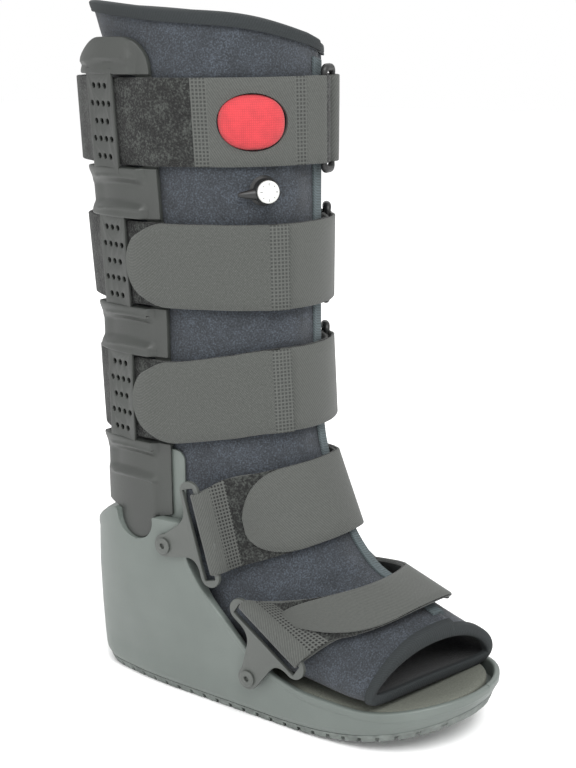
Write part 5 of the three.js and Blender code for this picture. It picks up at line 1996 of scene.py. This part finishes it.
def add_camera():
    """The camera from where the photo was taken."""
    bpy.ops.object.camera_add()
    camera = bpy.context.object
    camera.name = "photo_camera"
    level = cosine(CAMERA_TILT)
    ahead = Vector((
        -sine(CAMERA_BEARING) * level, cosine(CAMERA_BEARING) * level, -sine(CAMERA_TILT),
    ))
    right = Vector((cosine(CAMERA_BEARING), sine(CAMERA_BEARING), 0))
    up = right.cross(ahead)
    across = right * cosine(CAMERA_ROLL) + up * sine(CAMERA_ROLL)
    upright = up * cosine(CAMERA_ROLL) - right * sine(CAMERA_ROLL)
    turn = Matrix((across, upright, -ahead)).transposed().to_4x4()
    camera.matrix_world = Matrix.Translation(Vector(CAMERA_PLACE) * MM) @ turn
    camera.data.sensor_width = SENSOR
    camera.data.lens = CAMERA_FOCUS / PICTURE_HEIGHT * SENSOR
    camera.data.clip_start = 0.05
    bpy.context.scene.camera = camera


def make_stage():
    clear_selection()
    bpy.ops.mesh.primitive_plane_add(size=12, location=(0, 0, -0.0002))
    floor = named("studio_floor")
    bpy.ops.object.transform_apply()
    clothe(floor, "floor")
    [add_light(*light) for light in LIGHTS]
    world = bpy.context.scene.world or bpy.data.worlds.new("studio")
    bpy.context.scene.world = world
    world.use_nodes = True
    background = world.node_tree.nodes["Background"]
    background.inputs["Color"].default_value = linear("#ffffff")
    background.inputs["Strength"].default_value = 1.0
    bpy.context.scene.view_settings.view_transform = "Standard"
    add_camera()


# Operators and panel


class BOOT_OT_tread(bpy.types.Operator):
    """Makes the rubber tread with its cross grooves"""

    bl_idname = "boot.tread"
    bl_label = "Tread"
    bl_options = {"REGISTER", "UNDO"}

    def execute(self, context):
        make_tread()
        return {"FINISHED"}


class BOOT_OT_shell(bpy.types.Operator):
    """Makes the moulded shell of the foot with its sockets"""

    bl_idname = "boot.shell"
    bl_label = "Shell"
    bl_options = {"REGISTER", "UNDO"}

    def execute(self, context):
        make_shell()
        return {"FINISHED"}


class BOOT_OT_footbed(bpy.types.Operator):
    """Makes the foam footbed"""

    bl_idname = "boot.footbed"
    bl_label = "Footbed"
    bl_options = {"REGISTER", "UNDO"}

    def execute(self, context):
        make_footbed()
        return {"FINISHED"}


class BOOT_OT_liner(bpy.types.Operator):
    """Makes the padded liner with its outer flap"""

    bl_idname = "boot.liner"
    bl_label = "Liner"
    bl_options = {"REGISTER", "UNDO"}

    def execute(self, context):
        make_liner()
        return {"FINISHED"}


class BOOT_OT_bindings(bpy.types.Operator):
    """Makes the tapes along the liner's edges"""

    bl_idname = "boot.bindings"
    bl_label = "Bindings"
    bl_options = {"REGISTER", "UNDO"}

    def execute(self, context):
        make_top_binding()
        make_toe_binding()
        make_front_tape()
        return {"FINISHED"}


class BOOT_OT_uprights(bpy.types.Operator):
    """Makes both side uprights with their windows"""

    bl_idname = "boot.uprights"
    bl_label = "Uprights"
    bl_options = {"REGISTER", "UNDO"}

    def execute(self, context):
        settle_pair(make_upright(), "upright")
        return {"FINISHED"}


class BOOT_OT_brackets(bpy.types.Operator):
    """Makes the strap brackets and their rivets"""

    bl_idname = "boot.brackets"
    bl_label = "Brackets"
    bl_options = {"REGISTER", "UNDO"}

    def execute(self, context):
        for key, strap in FOOT_STRAPS.items():
            settle_pair(make_bracket("bracket", strap["bracket"]), "bracket_" + key)
            settle_pair(make_rivet("rivet", strap["bracket"]), "rivet_" + key)
        return {"FINISHED"}


class BOOT_OT_straps(bpy.types.Operator):
    """Makes the five straps"""

    bl_idname = "boot.straps"
    bl_label = "Straps"
    bl_options = {"REGISTER", "UNDO"}

    def execute(self, context):
        for key in CALF_STRAPS:
            make_calf_strap(key)
        for key in FOOT_STRAPS:
            make_foot_strap(key)
        return {"FINISHED"}


class BOOT_OT_rings(bpy.types.Operator):
    """Makes the rings of the calf straps"""

    bl_idname = "boot.rings"
    bl_label = "Rings"
    bl_options = {"REGISTER", "UNDO"}

    def execute(self, context):
        for key in CALF_STRAPS:
            make_ring(key)
        return {"FINISHED"}


class BOOT_OT_tabs(bpy.types.Operator):
    """Makes the tabs on the ends of the two lower calf straps"""

    bl_idname = "boot.tabs"
    bl_label = "Tabs"
    bl_options = {"REGISTER", "UNDO"}

    def execute(self, context):
        for key in ("mid", "low"):
            make_hook_tab(key)
        return {"FINISHED"}


class BOOT_OT_pump(bpy.types.Operator):
    """Makes the knit-covered pump"""

    bl_idname = "boot.pump"
    bl_label = "Pump"
    bl_options = {"REGISTER", "UNDO"}

    def execute(self, context):
        make_pump()
        return {"FINISHED"}


class BOOT_OT_valve(bpy.types.Operator):
    """Makes the housing of the air valve"""

    bl_idname = "boot.valve"
    bl_label = "Valve"
    bl_options = {"REGISTER", "UNDO"}

    def execute(self, context):
        make_valve()
        return {"FINISHED"}


class BOOT_OT_dial(bpy.types.Operator):
    """Makes the dial of the air valve"""

    bl_idname = "boot.dial"
    bl_label = "Dial"
    bl_options = {"REGISTER", "UNDO"}

    def execute(self, context):
        make_dial()
        return {"FINISHED"}


class BOOT_OT_stage(bpy.types.Operator):
    """Makes the floor, the lights and the camera"""

    bl_idname = "boot.stage"
    bl_label = "Stage"
    bl_options = {"REGISTER", "UNDO"}

    def execute(self, context):
        make_stage()
        return {"FINISHED"}


OPERATORS = (
    BOOT_OT_tread,
    BOOT_OT_shell,
    BOOT_OT_footbed,
    BOOT_OT_liner,
    BOOT_OT_bindings,
    BOOT_OT_uprights,
    BOOT_OT_brackets,
    BOOT_OT_straps,
    BOOT_OT_rings,
    BOOT_OT_tabs,
    BOOT_OT_pump,
    BOOT_OT_valve,
    BOOT_OT_dial,
    BOOT_OT_stage,
)


class BOOT_PT_looks(bpy.types.Panel):
    """Makes the boot piece by piece"""

    bl_label = "Walking boot"
    bl_idname = "BOOT_PT_looks"
    bl_space_type = "VIEW_3D"
    bl_region_type = "UI"
    bl_category = "Boot"

    def draw(self, context):
        column = self.layout.column(align=True)
        for group in (context.scene.boot_looks_sizes, context.scene.boot_looks_colours):
            for key in group.__annotations__:
                column.prop(group, key)
        for made in OPERATORS:
            column.operator(made.bl_idname)


CLASSES = (BootLooksSizes, BootLooksColours, *OPERATORS, BOOT_PT_looks)


def register():
    for made in CLASSES:
        bpy.utils.register_class(made)
    bpy.types.Scene.boot_looks_sizes = bpy.props.PointerProperty(type=BootLooksSizes)
    bpy.types.Scene.boot_looks_colours = bpy.props.PointerProperty(type=BootLooksColours)


def unregister():
    del bpy.types.Scene.boot_looks_colours
    del bpy.types.Scene.boot_looks_sizes
    for made in reversed(CLASSES):
        bpy.utils.unregister_class(made)


def main():
    register()
    bpy.ops.boot.tread()
    bpy.ops.boot.shell()
    bpy.ops.boot.footbed()
    bpy.ops.boot.liner()
    bpy.ops.boot.bindings()
    bpy.ops.boot.uprights()
    bpy.ops.boot.brackets()
    bpy.ops.boot.straps()
    bpy.ops.boot.rings()
    bpy.ops.boot.tabs()
    bpy.ops.boot.pump()
    bpy.ops.boot.valve()
    bpy.ops.boot.dial()
    bpy.ops.boot.stage()


if __name__ == "__main__":
    main()
